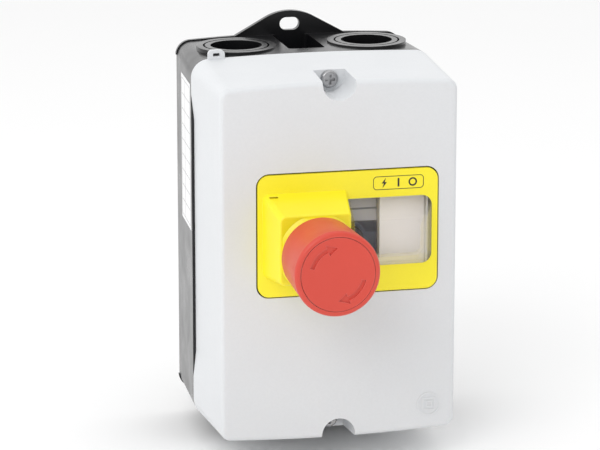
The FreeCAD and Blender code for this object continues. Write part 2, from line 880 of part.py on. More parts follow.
def trip_plungers():
    """Plungers that stop just short of the contact bar at full stroke."""
    top = bar_z0 - plunger_travel - 0.4
    return group([rod_z(x, coil_d, coil_bore_r - running, coil_z0, top) for x in pole_x])


def bimetal_strips():
    """Thermal release strips, each with its heater winding's former at its foot."""
    d = bimetal_d
    strips = []
    for x in pole_x:
        blade = block(x - 2.5, x + 2.5, d, d + 0.9, breaker_z0 + 4, bar_z0 - 3)
        foot = block(x - 3.5, x + 3.5, d - 2, d + 3, breaker_z0 + breaker_shell, breaker_z0 + 9)
        strips.append(join([blade, foot]))
    return group(strips)


def arc_plates():
    plates = []
    z0 = bar_z1 + 9.5
    for x in pole_x:
        for k in range(5):
            z = z0 + 2.2 * k
            plates.append(block(x - pole_half, x + pole_half, contact_d - 14, contact_d + 3, z, z + 0.8))
    return group(plates)


def rail_clip():
    """Sprung foot that grips the rail's lower flange."""
    z = rail_z - rail_width / 2
    d0 = rail_front_d - 3.2
    foot = join([
        block(stack_x - 8, stack_x + 8, d0, breaker_back_d, z - 3.2, z),
        block(stack_x - 8, stack_x + 8, d0, rail_front_d - rail_sheet - 0.2, z - 3.2, z + 2.0),
        block(stack_x - 4, stack_x + 4, d0, breaker_back_d, z - 14, z - 3.2),
    ])
    return foot


def aux_block():
    """Auxiliary contact block beside the breaker, in light plastic."""
    t = breaker_shell
    low = breaker_z0 + nose_z0
    high = breaker_z0 + nose_z1
    step = shoulder_d + 3.0
    nose = block(aux_x0, aux_x1 + aux_nose_side, step, nose_d + aux_nose_front, low, high)
    nose_cavity = block(aux_x0 + t, aux_x1 + aux_nose_side - t, step + t, nose_d + aux_nose_front - t,
                        low + t, high - t)
    shell = join([breaker_profile(aux_x0, aux_x1), nose])
    shell = shell.cut(breaker_cavity(aux_x0, aux_x1, t)).cut(nose_cavity)
    seats = [
        block(aux_x0 + 1, aux_x1 - 1, terminal_d - 12, terminal_d, z - 6, z + 6) for z in (line_z, load_z)
    ]
    shell = join([shell, rail_hook(aux_x0, aux_x1)] + seats)
    holes = []
    for x in aux_screw_x:
        for z in (line_z, load_z):
            holes.append(rod(x, z, 2.9, terminal_d + 3, shoulder_d + 1))
            holes.append(rod(x, z, 1.6, terminal_d - 9, terminal_d + 1))
    return shell.cut(join(holes))


aux_xc = (aux_x0 + aux_x1) / 2
aux_screw_x = [aux_xc - 4.0, aux_xc + 4.0]


def aux_strips():
    return group([
        block(x - 2.8, x + 2.8, terminal_d, terminal_d + strip, z - 6, z + 6).cut(
            rod(x, z, 1.75, terminal_d - 1, terminal_d + 4))
        for x in aux_screw_x for z in (line_z, load_z)
    ])


def aux_screws():
    seat = terminal_d + strip
    return group([
        pan_screw(x, z, 1.6, 2.6, 2.0, seat, seat - 9) for x in aux_screw_x for z in (line_z, load_z)
    ])


# ---------------------------------------------------------------- contactor
con_split = contactor_d0 + 28.0
con_shoulder = contactor_d1 - 11.0
con_nose = 14.0           # half height of the raised middle
con_wall = 2.0
magnet_gap = 4.0
magnet_clear = 0.1
con_travel = magnet_gap - magnet_clear
core_d0 = contactor_d0 + 2.5
core_yoke = 5.5
limb = 9.0
core_d1 = core_d0 + core_yoke + limb
arm_d0 = core_d1 + magnet_gap
arm_limb = 5.0
arm_yoke = 4.0
arm_d1 = arm_d0 + arm_limb + arm_yoke
magnet_half = 15.0
magnet_depth = 6.0
limb_mid = 4.0
limb_out = 4.0
fixed_d = contactor_d0 + 36.0
bridge_d = fixed_d + con_travel + 0.1
con_screw_off = 19.0
con_screw_r = 1.6
con_nut_half = 3.4
con_nut_t = 2.6


def tab_bar(x0, x1):
    """Flat bar at the coil terminals' place, between two X."""
    zc = contactor_zc
    return block(x0, x1, coil_tab_d, coil_tab_d + coil_tab_t, zc - coil_tab_hw, zc + coil_tab_hw)


def contactor_shells():
    x0, x1 = breaker_x0, breaker_x1
    zc = contactor_zc
    t = con_wall
    nose_low = zc - con_nose
    nose_high = zc + con_nose
    shell = join([
        block(x0, x1, contactor_d0, con_shoulder, contactor_z0, contactor_z1),
        block(x0, x1, con_shoulder - 1, contactor_d1, nose_low, nose_high),
    ])
    hollow = join([
        block(x0 + t, x1 - t, contactor_d0 + t, con_shoulder - t, contactor_z0 + t, contactor_z1 - t),
        block(x0 + t, x1 - t, con_shoulder - t - 1, contactor_d1 - t, nose_low + t, nose_high - t),
    ])
    cuts = [hollow]
    for x in pole_x:
        for sign in (1, -1):
            z = zc + sign * con_screw_off
            cuts.append(rod(x, z, 3.2, fixed_d + 3, con_shoulder + 1))
            edge = zc + sign * contactor_height / 2
            reach = t + 0.5
            cuts.append(block(x - 3.6, x + 3.6, fixed_d - 2, fixed_d + 4.6, edge - reach, edge + reach))
    for sign in (1, -1):
        x = stack_x + sign * breaker_width / 2
        cuts.append(tab_bar(x - t - 1, x + t + 1))
    shell = shell.cut(join(cuts))
    lower = shell.common(block(-200, 200, 0, con_split, -200, 200))
    upper = shell.common(block(-200, 200, con_split, 300, -200, 200))
    upper = join([upper] + contact_seats())
    for x in pole_x:
        for sign in (1, -1):
            z = zc + sign * con_screw_off
            pocket = block(x - con_nut_half, x + con_nut_half, fixed_d - strip - con_nut_t, fixed_d,
                           z - con_nut_half, z + con_nut_half)
            upper = upper.cut(pocket).cut(rod(x, z, con_screw_r + 0.3, con_split + 1, fixed_d))
    spring_at = [stack_x + s * return_spring_x for s in (1, -1)]
    seats = [rod(x, zc, 2.6, contactor_d0 + 1, return_spring_d0) for x in spring_at]
    ears = []
    for x, z in contactor_screw_at:
        inner = breaker_x0 + 1 if x < stack_x else breaker_x1 - 1
        ears.append(block(min(x, inner) - 4 * (x < stack_x), max(x, inner) + 4 * (x > stack_x),
                          contactor_d0, contactor_d0 + 3, z - 4, z + 4))
    lower = join([lower] + seats + ears)
    cores = [
        block(stack_x - 17, stack_x - magnet_half - 0.1, contactor_d0 + 1, core_d0 + 4, zc - 8, zc + 8),
        block(stack_x + magnet_half + 0.1, stack_x + 17, contactor_d0 + 1, core_d0 + 4, zc - 8, zc + 8),
        block(stack_x - 10, stack_x + 10, contactor_d0 + 1, core_d0, zc - 5, zc + 5),
    ]
    lower = join([lower] + cores)
    for x, z in contactor_screw_at:
        lower = lower.cut(rod(x, z, rail_screw_r + 0.3, 0, contactor_d0 + 5))
    return lower, upper


coil_tab_d = contactor_d0 + 13.0
coil_tab_t = 0.8
coil_tab_hw = 3.15
return_spring_x = 18.2
return_spring_d0 = contactor_d0 + 14.0


def contact_seats():
    """Ledges under the fixed contacts, on the end walls of the contactor's head."""
    seats = []
    for x in pole_x:
        for sign in (1, -1):
            a = contactor_zc + sign * 13.0
            b = contactor_zc + sign * (contactor_height / 2 - con_wall + 0.2)
            seats.append(block(x - 5.4, x + 5.4, con_split, fixed_d - strip, min(a, b), max(a, b)))
    return seats


def e_core(d_yoke0, d_yoke1, d_limb):
    zc = contactor_zc
    x = stack_x
    m = magnet_half
    lo, hi = min(d_yoke0, d_limb), max(d_yoke1, d_limb)
    return join([
        block(x - m, x + m, d_yoke0, d_yoke1, zc - magnet_depth, zc + magnet_depth),
        block(x - limb_mid, x + limb_mid, lo, hi, zc - magnet_depth, zc + magnet_depth),
        block(x - m, x - m + limb_out, lo, hi, zc - magnet_depth, zc + magnet_depth),
        block(x + m - limb_out, x + m, lo, hi, zc - magnet_depth, zc + magnet_depth),
    ])


def magnet_core():
    return e_core(core_d0, core_d0 + core_yoke, core_d1)


def armature():
    return e_core(arm_d1 - arm_yoke, arm_d1, arm_d0)


def coil_parts():
    """Bobbin with its two flanges, and the winding between them."""
    zc = contactor_zc
    x = stack_x
    d0 = core_d0 + core_yoke
    d1 = core_d1 - 0.6
    hx = limb_mid + 0.3
    hz = magnet_depth + 0.3
    ox = magnet_half - limb_out - 0.4
    oz = hz + 7.0
    hole = block(x - hx, x + hx, d0 - 1, d1 + 1, zc - hz, zc + hz)
    flange_t = 0.8
    tube_t = 0.8
    bobbin = join([
        block(x - ox, x + ox, d0, d0 + flange_t, zc - oz, zc + oz),
        block(x - ox, x + ox, d1 - flange_t, d1, zc - oz, zc + oz),
        block(x - hx - tube_t, x + hx + tube_t, d0, d1, zc - hz - tube_t, zc + hz + tube_t),
    ]).cut(hole)
    winding = slab(x - ox + 0.5, x + ox - 0.5, d0 + flange_t, d1 - flange_t,
                   zc - oz + 0.6, zc + oz - 0.6, 3.0)
    inner = block(x - hx - tube_t, x + hx + tube_t, d0 - 1, d1 + 1, zc - hz - tube_t, zc + hz + tube_t)
    return bobbin, winding.cut(inner)


def coil_tabs():
    tabs = []
    for sign in (1, -1):
        a = stack_x + sign * (breaker_width / 2 - con_wall + 0.5)
        b = stack_x + sign * (breaker_width / 2 + 5)
        tabs.append(tab_bar(min(a, b), max(a, b)))
    return group(tabs)


def contact_carrier():
    """Moving insulator: foot plate on the armature and a windowed rib that holds the bridges."""
    zc = contactor_zc
    d1 = arm_d1 + 3.0
    foot = block(stack_x - 20.0, stack_x + 20.0, arm_d1, d1, zc - 6.5, zc + 6.5)
    rib = block(stack_x - 19.0, stack_x + 19.0, d1 - 0.5, bridge_d + 7.0, zc - 2.4, zc + 2.4)
    body = join([foot, rib])
    for x in pole_x:
        body = body.cut(block(x - 3.0, x + 3.0, bridge_d, bridge_d + 5.0, zc - 5, zc + 5))
    return body


def contact_bridges():
    zc = contactor_zc
    return group([
        block(x - 2.6, x + 2.6, bridge_d, bridge_d + strip, zc - 11.5, zc + 11.5) for x in pole_x
    ])


def contact_springs():
    """Springs that press each bridge against the foot of its window."""
    return group([
        helix_spring(x, contactor_zc, 1.6, 0.25, bridge_d + strip, bridge_d + 5.0, 3) for x in pole_x
    ])


def fixed_contacts():
    zc = contactor_zc
    parts = []
    for x in pole_x:
        for sign in (1, -1):
            a = zc + sign * 8.5
            b = zc + sign * (contactor_height / 2 - 1.2)
            piece = block(x - 2.6, x + 2.6, fixed_d - strip, fixed_d, min(a, b), max(a, b))
            z = zc + sign * con_screw_off
            parts.append(piece.cut(rod(x, z, con_screw_r + 0.15, fixed_d - 4, fixed_d + 4)))
    return group(parts)


def contactor_nuts():
    zc = contactor_zc
    nuts = []
    for x in pole_x:
        for sign in (1, -1):
            z = zc + sign * con_screw_off
            d1 = fixed_d - strip
            half = con_nut_half
            nut = block(x - half, x + half, d1 - con_nut_t, d1, z - half, z + half)
            nuts.append(nut.cut(rod(x, z, con_screw_r, 0, d1 + 1)))
    return group(nuts)


def contactor_terminal_screws():
    zc = contactor_zc
    seat = fixed_d + strip
    tip = fixed_d - strip - 4.0
    return group([
        pan_screw(x, zc + sign * con_screw_off, con_screw_r, 2.8, 2.0, seat, tip)
        for x in pole_x for sign in (1, -1)
    ])


def return_springs():
    return group([
        helix_spring(stack_x + s * return_spring_x, contactor_zc, 1.6, 0.3, return_spring_d0, arm_d1, 6)
        for s in (1, -1)
    ])


def link_bars():
    """Copper links from the breaker's load terminals to the contactor's upper terminals."""
    bars = []
    gap_z = contactor_z1 + (link_gap - strip) / 2
    for x in pole_x:
        top = block(x - 2.4, x + 2.4, terminal_d - strip, terminal_d, gap_z, load_z + 5)
        drop = block(x - 2.4, x + 2.4, fixed_d, terminal_d, gap_z, gap_z + strip)
        foot_z = contactor_zc + con_screw_off - 4
        foot = block(x - 2.4, x + 2.4, fixed_d, fixed_d + strip, foot_z, gap_z + strip)
        bar = join([top, drop, foot])
        bar = bar.cut(rod(x, load_z, terminal_screw_r + 0.15, terminal_d - 3, terminal_d + 3))
        z = contactor_zc + con_screw_off
        bars.append(bar.cut(rod(x, z, con_screw_r + 0.15, fixed_d - 3, fixed_d + 4)))
    return group(bars)


# ---------------------------------------------------------------- earth terminal
def earth_terminal():
    body = block(earth_x - 4.5, earth_x + 4.5, earth_d, earth_d + 9, earth_z - 11, earth_z + 11)
    body = body.cut(rod(earth_x, earth_z, rail_screw_r + 0.2, earth_d - 1, earth_d + 10))
    body = body.cut(rod(earth_x, earth_z, 3.5, earth_d + 6, earth_d + 10))
    for sign in (1, -1):
        z = earth_z + sign * earth_clamp_z
        body = body.cut(rod(earth_x, z, earth_clamp_r, earth_d + 2, earth_d + 10))
        body = body.cut(Part.makeCylinder(1.8, 12, at(earth_x - 6, earth_d + 3.4, z), RIGHT))
    return body


# ---------------------------------------------------------------- the cover
def cover_body():
    """Outer form of the cover with its face's edge rounded."""
    steps = 5
    shape = cover_prism(base_depth + rim_gap, face_d - face_edge_r)
    wires = []
    for k in range(steps + 1):
        angle = math.pi / 2 * k / steps
        d = face_d - face_edge_r * (1 - math.sin(angle))
        wires.append(cover_outline(d, face_edge_r * (1 - math.cos(angle))))
    edge = loft(*wires)
    return shape.fuse(edge)


def side_reliefs():
    """Shallow wedges off the cover's side edges, with sloping ends."""
    cuts = []
    d0 = base_depth - 1
    d1 = face_d - face_edge_r - 6
    for sign in (1, -1):
        def section(d, depth):
            hw = mixed(rim_hw, face_hw, (d - base_depth) / cover_depth)
            x_out = sign * (hw + 1)
            x_in = sign * (hw - depth)
            x_edge = sign * hw
            return Part.makePolygon([
                at(x_out, d, side_relief_z0), at(x_edge, d, side_relief_z0),
                at(x_in, d, side_relief_z0 + side_relief_run),
                at(x_in, d, side_relief_z1 - side_relief_run),
                at(x_edge, d, side_relief_z1), at(x_out, d, side_relief_z1),
                at(x_out, d, side_relief_z0)])
        cuts.append(loft(section(d0, side_relief), section(d1, 0.02)))
    return cuts


def screw_column(sign):
    """Column inside the cover around a cover screw, from the rim to below the screw's seat."""
    z = sign * cover_screw_z
    well_r = screw_pocket_face_r + 2.2
    return join([
        rod(0, z, pillar_r, base_depth + rim_gap, screw_seat_d),
        rod(0, sign * (rim_hh - screw_pocket_inset), well_r, screw_seat_d - 2.6, face_d - 1),
    ])


def screw_well(sign):
    """Open-topped well in the cover's edge that the screw's head sits in."""
    z = sign * (rim_hh - screw_pocket_inset)
    well = cone(0, z, screw_pocket_r, screw_pocket_face_r, screw_seat_d, face_d + 0.1)
    high = rim_hh + 12
    wires = []
    for r, d in ((screw_pocket_r, screw_seat_d), (screw_pocket_face_r, face_d + 0.1)):
        corners = [at(-r, d, z), at(r, d, z), at(r, d, sign * high), at(-r, d, sign * high)]
        wires.append(Part.makePolygon(corners + corners[:1]))
    slot = Part.makeLoft(wires, True, True)
    shank = rod(0, sign * cover_screw_z, cover_screw_r + screw_clear, base_depth - 1, screw_seat_d + 1)
    return join([well, slot, shank])


def sealing_eye():
    x = -(rim_hw - eye_x_inset)
    z_root = rim_hh - 4
    z_top = rim_hh + crown_rim * (1 - (x / rim_hw) ** 2) + eye_rise
    d0 = base_depth + rim_gap
    half = eye_width / 2
    tab = slab(x - half, x + half, d0, d0 + eye_thickness, z_root, z_top, eye_corner)
    hole_z = z_top - eye_rise / 2 - 0.2
    hole = slab(x - eye_hole_w / 2, x + eye_hole_w / 2, d0 - 1, d0 + eye_thickness + 1,
                hole_z - eye_hole_h / 2, hole_z + eye_hole_h / 2, eye_hole_corner)
    return tab, hole


aperture_margin = 0.4


def aperture(d0, d1, grow=0.0):
    """Opening behind the block and the lens."""
    inset = aperture_margin - grow
    return slab(axis_x + block_base[0] + inset, lens_x1 - 1.2 + grow, d0, d1,
                axis_z + block_base[2] + inset, axis_z + block_base[3] - inset, 2.0)


def plate_slab(d0, d1, grow=0.0):
    return slab(plate_x0 - grow, plate_x1 + grow, d0, d1,
                plate_z0 - grow, plate_z1 + grow, plate_corner + grow)


def class_mark():
    """Moulded ring with a double square: the sign for double insulation."""
    x = face_hw - 12.9
    z = -(face_hh - 11.7)
    h = 0.35
    width = 0.8
    d0 = face_d - 0.5
    parts = [tube(x, z, 5.9, 5.9 - width, d0, face_d + h)]
    for half in (3.3, 1.7):
        inner = half - width
        outer = block(x - half, x + half, d0, face_d + h, z - half, z + half)
        parts.append(outer.cut(block(x - inner, x + inner, 0, 200, z - inner, z + inner)))
    return parts


def enclosure_cover():
    outer = join([cover_body()])
    d0 = base_depth + rim_gap
    hollow = cover_prism(d0 - 1, face_d - face_thickness, wall)
    collar = cover_prism(d0, d0 + rim_band, wall / 2)
    collar = collar.cut(cover_prism(d0 - 1, d0 + rim_band + 1, wall + rim_collar))
    pad = plate_slab(plate_seat_d - face_thickness, face_d - 1, plate_gap + 2.6)
    keep = [collar, pad]
    for sign in (1, -1):
        keep.append(screw_column(sign))
    kept = join(keep).common(cover_prism(d0, face_d - 0.5, wall / 2))
    tab, hole = sealing_eye()
    body = join([outer.cut(hollow.cut(kept)), tab])
    tongue_in = groove_inset + tongue_side_gap
    tongue_out = groove_inset + groove_width - tongue_side_gap
    tongue = base_prism(d0 - tongue_drop, d0 + 0.5, tongue_in)
    tongue = tongue.cut(base_prism(d0 - tongue_drop - 1, d0 + 1, tongue_out))
    cuts = [hole, plate_slab(plate_seat_d, face_d + 5, plate_gap), aperture(plate_seat_d - 20, face_d)]
    cuts.extend(side_reliefs())
    cuts.extend(screw_well(sign) for sign in (1, -1))
    body = body.cut(join(cuts))
    return join([body, tongue] + class_mark())


def cover_screws():
    seat = screw_seat_d
    tip = base_depth - groove_depth - 0.8 - insert_length + 0.4
    screws = []
    for sign in (1, -1):
        z = sign * cover_screw_z
        screws.append(pan_screw(0, z, cover_screw_r, cover_screw_head_r, cover_screw_head_t, seat, tip))
    return group(screws)


# ---------------------------------------------------------------- operator plate, lens, seal
def block_loft(d0, d1, inset):
    """Tapered block about the mushroom's axis, between two depths."""
    wires = []
    for d in (d0, d1):
        s = (d - plate_d1) / block_height
        x0 = axis_x + mixed(block_base[0], block_front[0], s) + inset
        x1 = axis_x + mixed(block_base[1], block_front[1], s) - inset
        z0 = axis_z + mixed(block_base[2], block_front[2], s) + inset
        z1 = axis_z + mixed(block_base[3], block_front[3], s) - inset
        corners = (block_corner - inset * 0.6, block_right_corner - inset * 0.3)
        wires.append(rounded_rect(x0, x1, z0, z1, d, *corners))
    return loft(*wires)


def lens_loft(d0, d1, inset, grow=0.0):
    wires = []
    for d in (d0, d1):
        s = (d - plate_d1) / (lens_d1 - plate_d1)
        x0 = mixed(lens_x0, lens_front_x0, s) + inset
        x1 = lens_x1 - lens_slope_right * s - inset + grow
        z0 = lens_z0 + lens_slope_bottom * s + inset - grow
        z1 = lens_z1 - lens_slope_top * s - inset + grow
        corners = (lens_left_corner - inset * 0.3, lens_corner - inset * 0.6)
        wires.append(rounded_rect(x0, x1, z0, z1, d, *corners))
    return loft(*wires)


def lens_flange_slab(grow, d0, d1):
    return slab(lens_x0 - grow, lens_x1 + lens_flange + grow, d0, d1,
                lens_z0 - lens_flange - grow, lens_z1 + lens_flange + grow, lens_corner)


def operator_plate():
    flat = plate_slab(plate_d0, plate_d1)
    raised = block_loft(plate_d1 - 0.5, block_d1, 0.0)
    raised = soften(raised, block_edge_r, lambda e: e.BoundBox.YMax < -block_d1 + 0.01)
    body = join([flat, raised])
    hollow = block_loft(plate_d0 - 1, block_d1 - block_wall, block_wall)
    cuts = [
        hollow,
        rod(axis_x, axis_z, hub_thread_r + running, block_d1 - block_wall - 1, block_d1 + 1),
        lens_loft(plate_d1 - 10, plate_d1 + 3, 0.0, 0.15).common(
            block(lens_x0 - 0.05, 200, plate_d0 - 1, plate_d1 + 3, -200, 200)),
        lens_flange_slab(0.1, plate_d0 - 1, plate_d0 + lens_flange_t),
    ]
    body = body.cut(join(cuts))
    slit = block(axis_x - 20.0, axis_x - 15.8, block_d1 - 17.2, block_d1, axis_z + 24.0, axis_z + 24.7)
    return join([body.cut(slit)] + plate_hooks())


def plate_hooks():
    """Snap hooks behind the plate that grip the edge of the cover's opening."""
    hooks = []
    t = 1.6
    under = plate_seat_d - face_thickness
    left = axis_x + block_base[0] + aperture_margin + 0.2
    for z in (axis_z - 8, axis_z + 16):
        hooks.append(join([
            block(left, left + t, under - 1.6, plate_d1 + 1, z - 3, z + 3),
            block(left - 1.2, left + 0.2, under - 1.6, under - 0.1, z - 3, z + 3),
        ]))
    for x in (axis_x - 8, axis_x + 8):
        for sign in (1, -1):
            reach = block_base[3] if sign > 0 else -block_base[2]
            edge = axis_z + sign * (reach - aperture_margin - 0.2)
            a, b = sorted((edge, edge - sign * t))
            c, e = sorted((edge + sign * 1.2, edge - sign * 0.2))
            hooks.append(join([
                block(x - 3, x + 3, under - 1.6, plate_d1 + 1, a, b),
                block(x - 3, x + 3, under - 1.6, under - 0.1, c, e),
            ]))
    return hooks


def plate_seal():
    ring = plate_slab(plate_seat_d, plate_d0, plate_gap - 0.1)
    return ring.cut(aperture(plate_seat_d - 1, plate_d0 + 1, 0.4))


def window_lens():
    flange = lens_flange_slab(0.0, plate_d0, plate_d0 + lens_flange_t)
    hood = lens_loft(plate_d0, lens_d1, 0.0)
    hood = soften(hood, lens_edge_r, lambda e: e.BoundBox.YMax < -lens_d1 + 0.01)
    body = join([flange, hood])
    return body.cut(lens_loft(plate_d0 - 1, lens_d1 - lens_wall, lens_wall))


# ---------------------------------------------------------------- emergency-stop mechanism
def estop_hub():
    """Threaded bush through the block; its low cone is trimmed to the block's face."""
    barrel = join([
        rod(axis_x, axis_z, hub_thread_r, hub_d0, block_d1 + 0.5),
        rod(axis_x, axis_z, hub_r, block_d1, hub_d1),
    ])
    foot = cone(axis_x, axis_z, hub_cone_r, hub_cone_top_r, block_d1, block_d1 + hub_cone_h)
    edge = 1.2
    foot = foot.common(block(axis_x + block_front[0] + edge, axis_x + block_front[1] - edge, 0, 300,
                             axis_z + block_front[2] + edge, axis_z + block_front[3] - edge))
    bore = rod(axis_x, axis_z, hub_bore_r, hub_d0 + 2.2, hub_d1 + 1)
    neck = rod(axis_x, axis_z, stem_r + running, hub_d0 - 1, hub_d1 + 1)
    return join([barrel, foot]).cut(join([bore, neck]))


def estop_nut():
    """Round lock nut with four spanner notches."""
    d1 = block_d1 - block_wall
    nut = tube(axis_x, axis_z, nut_r, hub_thread_r, d1 - nut_t, d1)
    for angle in (45, 135, 225, 315):
        notch = block(axis_x - 1.2, axis_x + 1.2, d1 - nut_t - 1, d1 + 1,
                      axis_z + nut_r - 1.2, axis_z + nut_r + 2)
        notch.rotate(at(axis_x, 0, axis_z), OUT, angle)
        nut = nut.cut(notch)
    return nut


def estop_wiper():
    """Rubber wiper that seals the stem in the hub's mouth."""
    ring = tube(axis_x, axis_z, hub_bore_r, stem_r + running, hub_d1 - 3.0, hub_d1)
    return ring


def estop_latch_sleeve():
    """Cam sleeve in the hub that holds the stem down until the head is turned."""
    d0 = hub_d0 + 2.2
    d1 = hub_d0 + 9.0
    sleeve = tube(axis_x, axis_z, hub_bore_r, stem_r + running, d0, d1)
    cams = []
    for angle in (0, 120, 240):
        cam = block(axis_x - 1.4, axis_x + 1.4, d1 - 2.4, d1 + 1,
                    axis_z + stem_r, axis_z + hub_bore_r + 1)
        cam.rotate(at(axis_x, 0, axis_z), OUT, angle)
        cams.append(cam)
    return sleeve.cut(join(cams))


def estop_stem():
    """Plunger from the mushroom's socket to the pusher, grooved for its clip."""
    body = rod(axis_x, axis_z, stem_r, pusher_d1, head_floor_d)
    groove = tube(axis_x, axis_z, stem_r + 1, stem_r - 0.9, clip_d0, clip_d1)
    spigot = rod(axis_x, axis_z, 2.6, pusher_d0 + 0.8, pusher_d1 + 0.2)
    return join([body.cut(groove), spigot])


clip_t = 0.9
clip_d1 = hub_d0 - 0.1
clip_d0 = clip_d1 - clip_t


def estop_clip():
    ring = tube(axis_x, axis_z, stem_r + 2.4, stem_r - 0.9, clip_d0, clip_d1)
    return ring.cut(block(axis_x - 1.6, axis_x + 1.6, clip_d0 - 1, clip_d1 + 1, axis_z - 20, axis_z))


def estop_pusher():
    pad = rod(axis_x, axis_z, pusher_r, pusher_d0, pusher_d1)
    return pad.cut(rod(axis_x, axis_z, 2.6, pusher_d0 + 0.8, pusher_d1 + 1))


def estop_spring():
    return helix_spring(axis_x, axis_z, 9.6, 0.6, hub_d1, head_floor_d, 7)


def estop_head():
    """Red mushroom: a cup with a socket for the stem and a rim round the cap."""
    x, z = axis_x, axis_z
    edge_d = head_d1 - head_edge_r
    round_in = head_edge_r * (1 - math.sqrt(0.5))
    profile = Part.Wire([
        line(at(x, head_d0, z), at(x + head_rear_r, head_d0, z)),
        line(at(x + head_rear_r, head_d0, z), at(x + head_r, edge_d, z)),
        arc(at(x + head_r, edge_d, z),
            at(x + head_r - round_in, head_d1 - round_in, z),
            at(x + head_r - head_edge_r, head_d1, z)),
        line(at(x + head_r - head_edge_r, head_d1, z), at(x, head_d1, z)),
        line(at(x, head_d1, z), at(x, head_d0, z)),
    ])
    body = Part.Face(profile).revolve(at(x, 0, z), OUT, 360)
    cavity = rod(x, z, head_rear_r - head_wall, head_d0 - 1, head_floor_d)
    cavity = cavity.cut(rod(x, z, stem_r + 2.6, head_floor_d - 12, head_floor_d + 1))
    seat = rod(x, z, cap_r - 1.2, head_d1 - cap_thickness, head_d1 + 1)
    bore = rod(x, z, stem_r + running, head_floor_d - 13, head_floor_d)
    return body.cut(join([cavity, bore])).cut(seat)


def turn_arrow(start_deg):
    """Clockwise arrow, as seen from the front, cut into the cap."""
    r = 12.6
    width = arrow_width
    sweep = 52
    steps = 8
    points_in = []
    points_out = []
    for k in range(steps + 1):
        a = math.radians(start_deg - sweep * k / steps)
        points_out.append((r + width / 2, a))
        points_in.append((r - width / 2, a))
    tip = math.radians(start_deg - sweep - 22)
    base = math.radians(start_deg - sweep)
    ring = points_out + [(r + 2.7, base), (r, tip), (r - 2.7, base)] + points_in[::-1]
    d = head_d1 - arrow_depth
    pts = [at(axis_x + rr * math.cos(a), d, axis_z + rr * math.sin(a)) for rr, a in ring]
    pts.append(pts[0])
    return Part.Face(Part.makePolygon(pts)).extrude(OUT * 2)


def estop_cap():
    """Disc pressed into the mushroom's rim, with two sunk arrows."""
    disc = rod(axis_x, axis_z, cap_r - 1.2 - cap_gap, head_d1 - cap_thickness, head_d1 + 0.1)
    return disc.cut(turn_arrow(165)).cut(turn_arrow(-15))


# ---------------------------------------------------------------- every node
def build():
    base_trough, base_top_end = base_parts()
    breaker_lower, breaker_upper = breaker_shells()
    contactor_lower, contactor_upper = contactor_shells()
    bobbin, winding = coil_parts()
    return {
        "enclosure_base": base_trough,
        "base_top_end": base_top_end,
        "rating_label": rating_label(),
        "base_gasket": base_gasket(),
        "screw_inserts": screw_inserts(),
        "din_rail": din_rail(),
        "mounting_screws": mounting_screws(),
        "breaker_housing": breaker_lower,
        "breaker_front": breaker_upper,
        "breaker_guide_plate": guide_plate(),
        "breaker_start_button": push_button(start_x, stop_top_d - 1.0),
        "breaker_stop_button": push_button(axis_x, stop_top_d),
        "breaker_button_springs": group([button_spring(start_x), button_spring(axis_x)]),
        "breaker_trip_dial": trip_dial(),
        "breaker_line_strips": breaker_line_strips(),
        "breaker_load_strips": breaker_load_strips(),
        "breaker_terminal_nuts": breaker_nuts(),
        "breaker_terminal_screws": breaker_terminal_screws(),
        "breaker_contact_bar": contact_bar(),
        "breaker_bar_springs": bar_springs(),
        "breaker_moving_contacts": breaker_moving_contacts(),
        "breaker_trip_coils": trip_coils(),
        "breaker_trip_plungers": trip_plungers(),
        "breaker_bimetals": bimetal_strips(),
        "breaker_arc_plates": arc_plates(),
        "breaker_rail_clip": rail_clip(),
        "auxiliary_block": aux_block(),
        "auxiliary_strips": aux_strips(),
        "auxiliary_screws": aux_screws(),
        "link_bars": link_bars(),
        "contactor_base": contactor_lower,
        "contactor_head": contactor_upper,
        "contactor_core": magnet_core(),
        "contactor_bobbin": bobbin,
        "contactor_winding": winding,
        "contactor_coil_tabs": coil_tabs(),
        "contactor_armature": armature(),
        "contactor_carrier": contact_carrier(),
        "contactor_bridges": contact_bridges(),
        "contactor_bridge_springs": contact_springs(),
        "contactor_fixed_contacts": fixed_contacts(),
        "contactor_terminal_nuts": contactor_nuts(),
        "contactor_terminal_screws": contactor_terminal_screws(),
        "contactor_return_springs": return_springs(),
        "earth_terminal": earth_terminal(),
        "enclosure_cover": enclosure_cover(),
        "cover_screws": cover_screws(),
        "operator_plate": operator_plate(),
        "operator_plate_seal": plate_seal(),
        "window_lens": window_lens(),
        "estop_hub": estop_hub(),
        "estop_nut": estop_nut(),
        "estop_wiper": estop_wiper(),
        "estop_latch_sleeve": estop_latch_sleeve(),
        "estop_stem": estop_stem(),
        "estop_clip": estop_clip(),
        "estop_pusher": estop_pusher(),
        "estop_spring": estop_spring(),
    }


def main():
    os.makedirs("parts", exist_ok=True)
    nodes = build()
    nodes["estop_head"] = estop_head()
    nodes["estop_cap"] = estop_cap()
    for name, shape in nodes.items():
        shape.exportStep("parts/" + name + ".step")
        print(name, len(shape.Solids), shape.isValid(), round(shape.Volume, 1))
    print(len(nodes), "nodes")


main()
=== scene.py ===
import json
import math

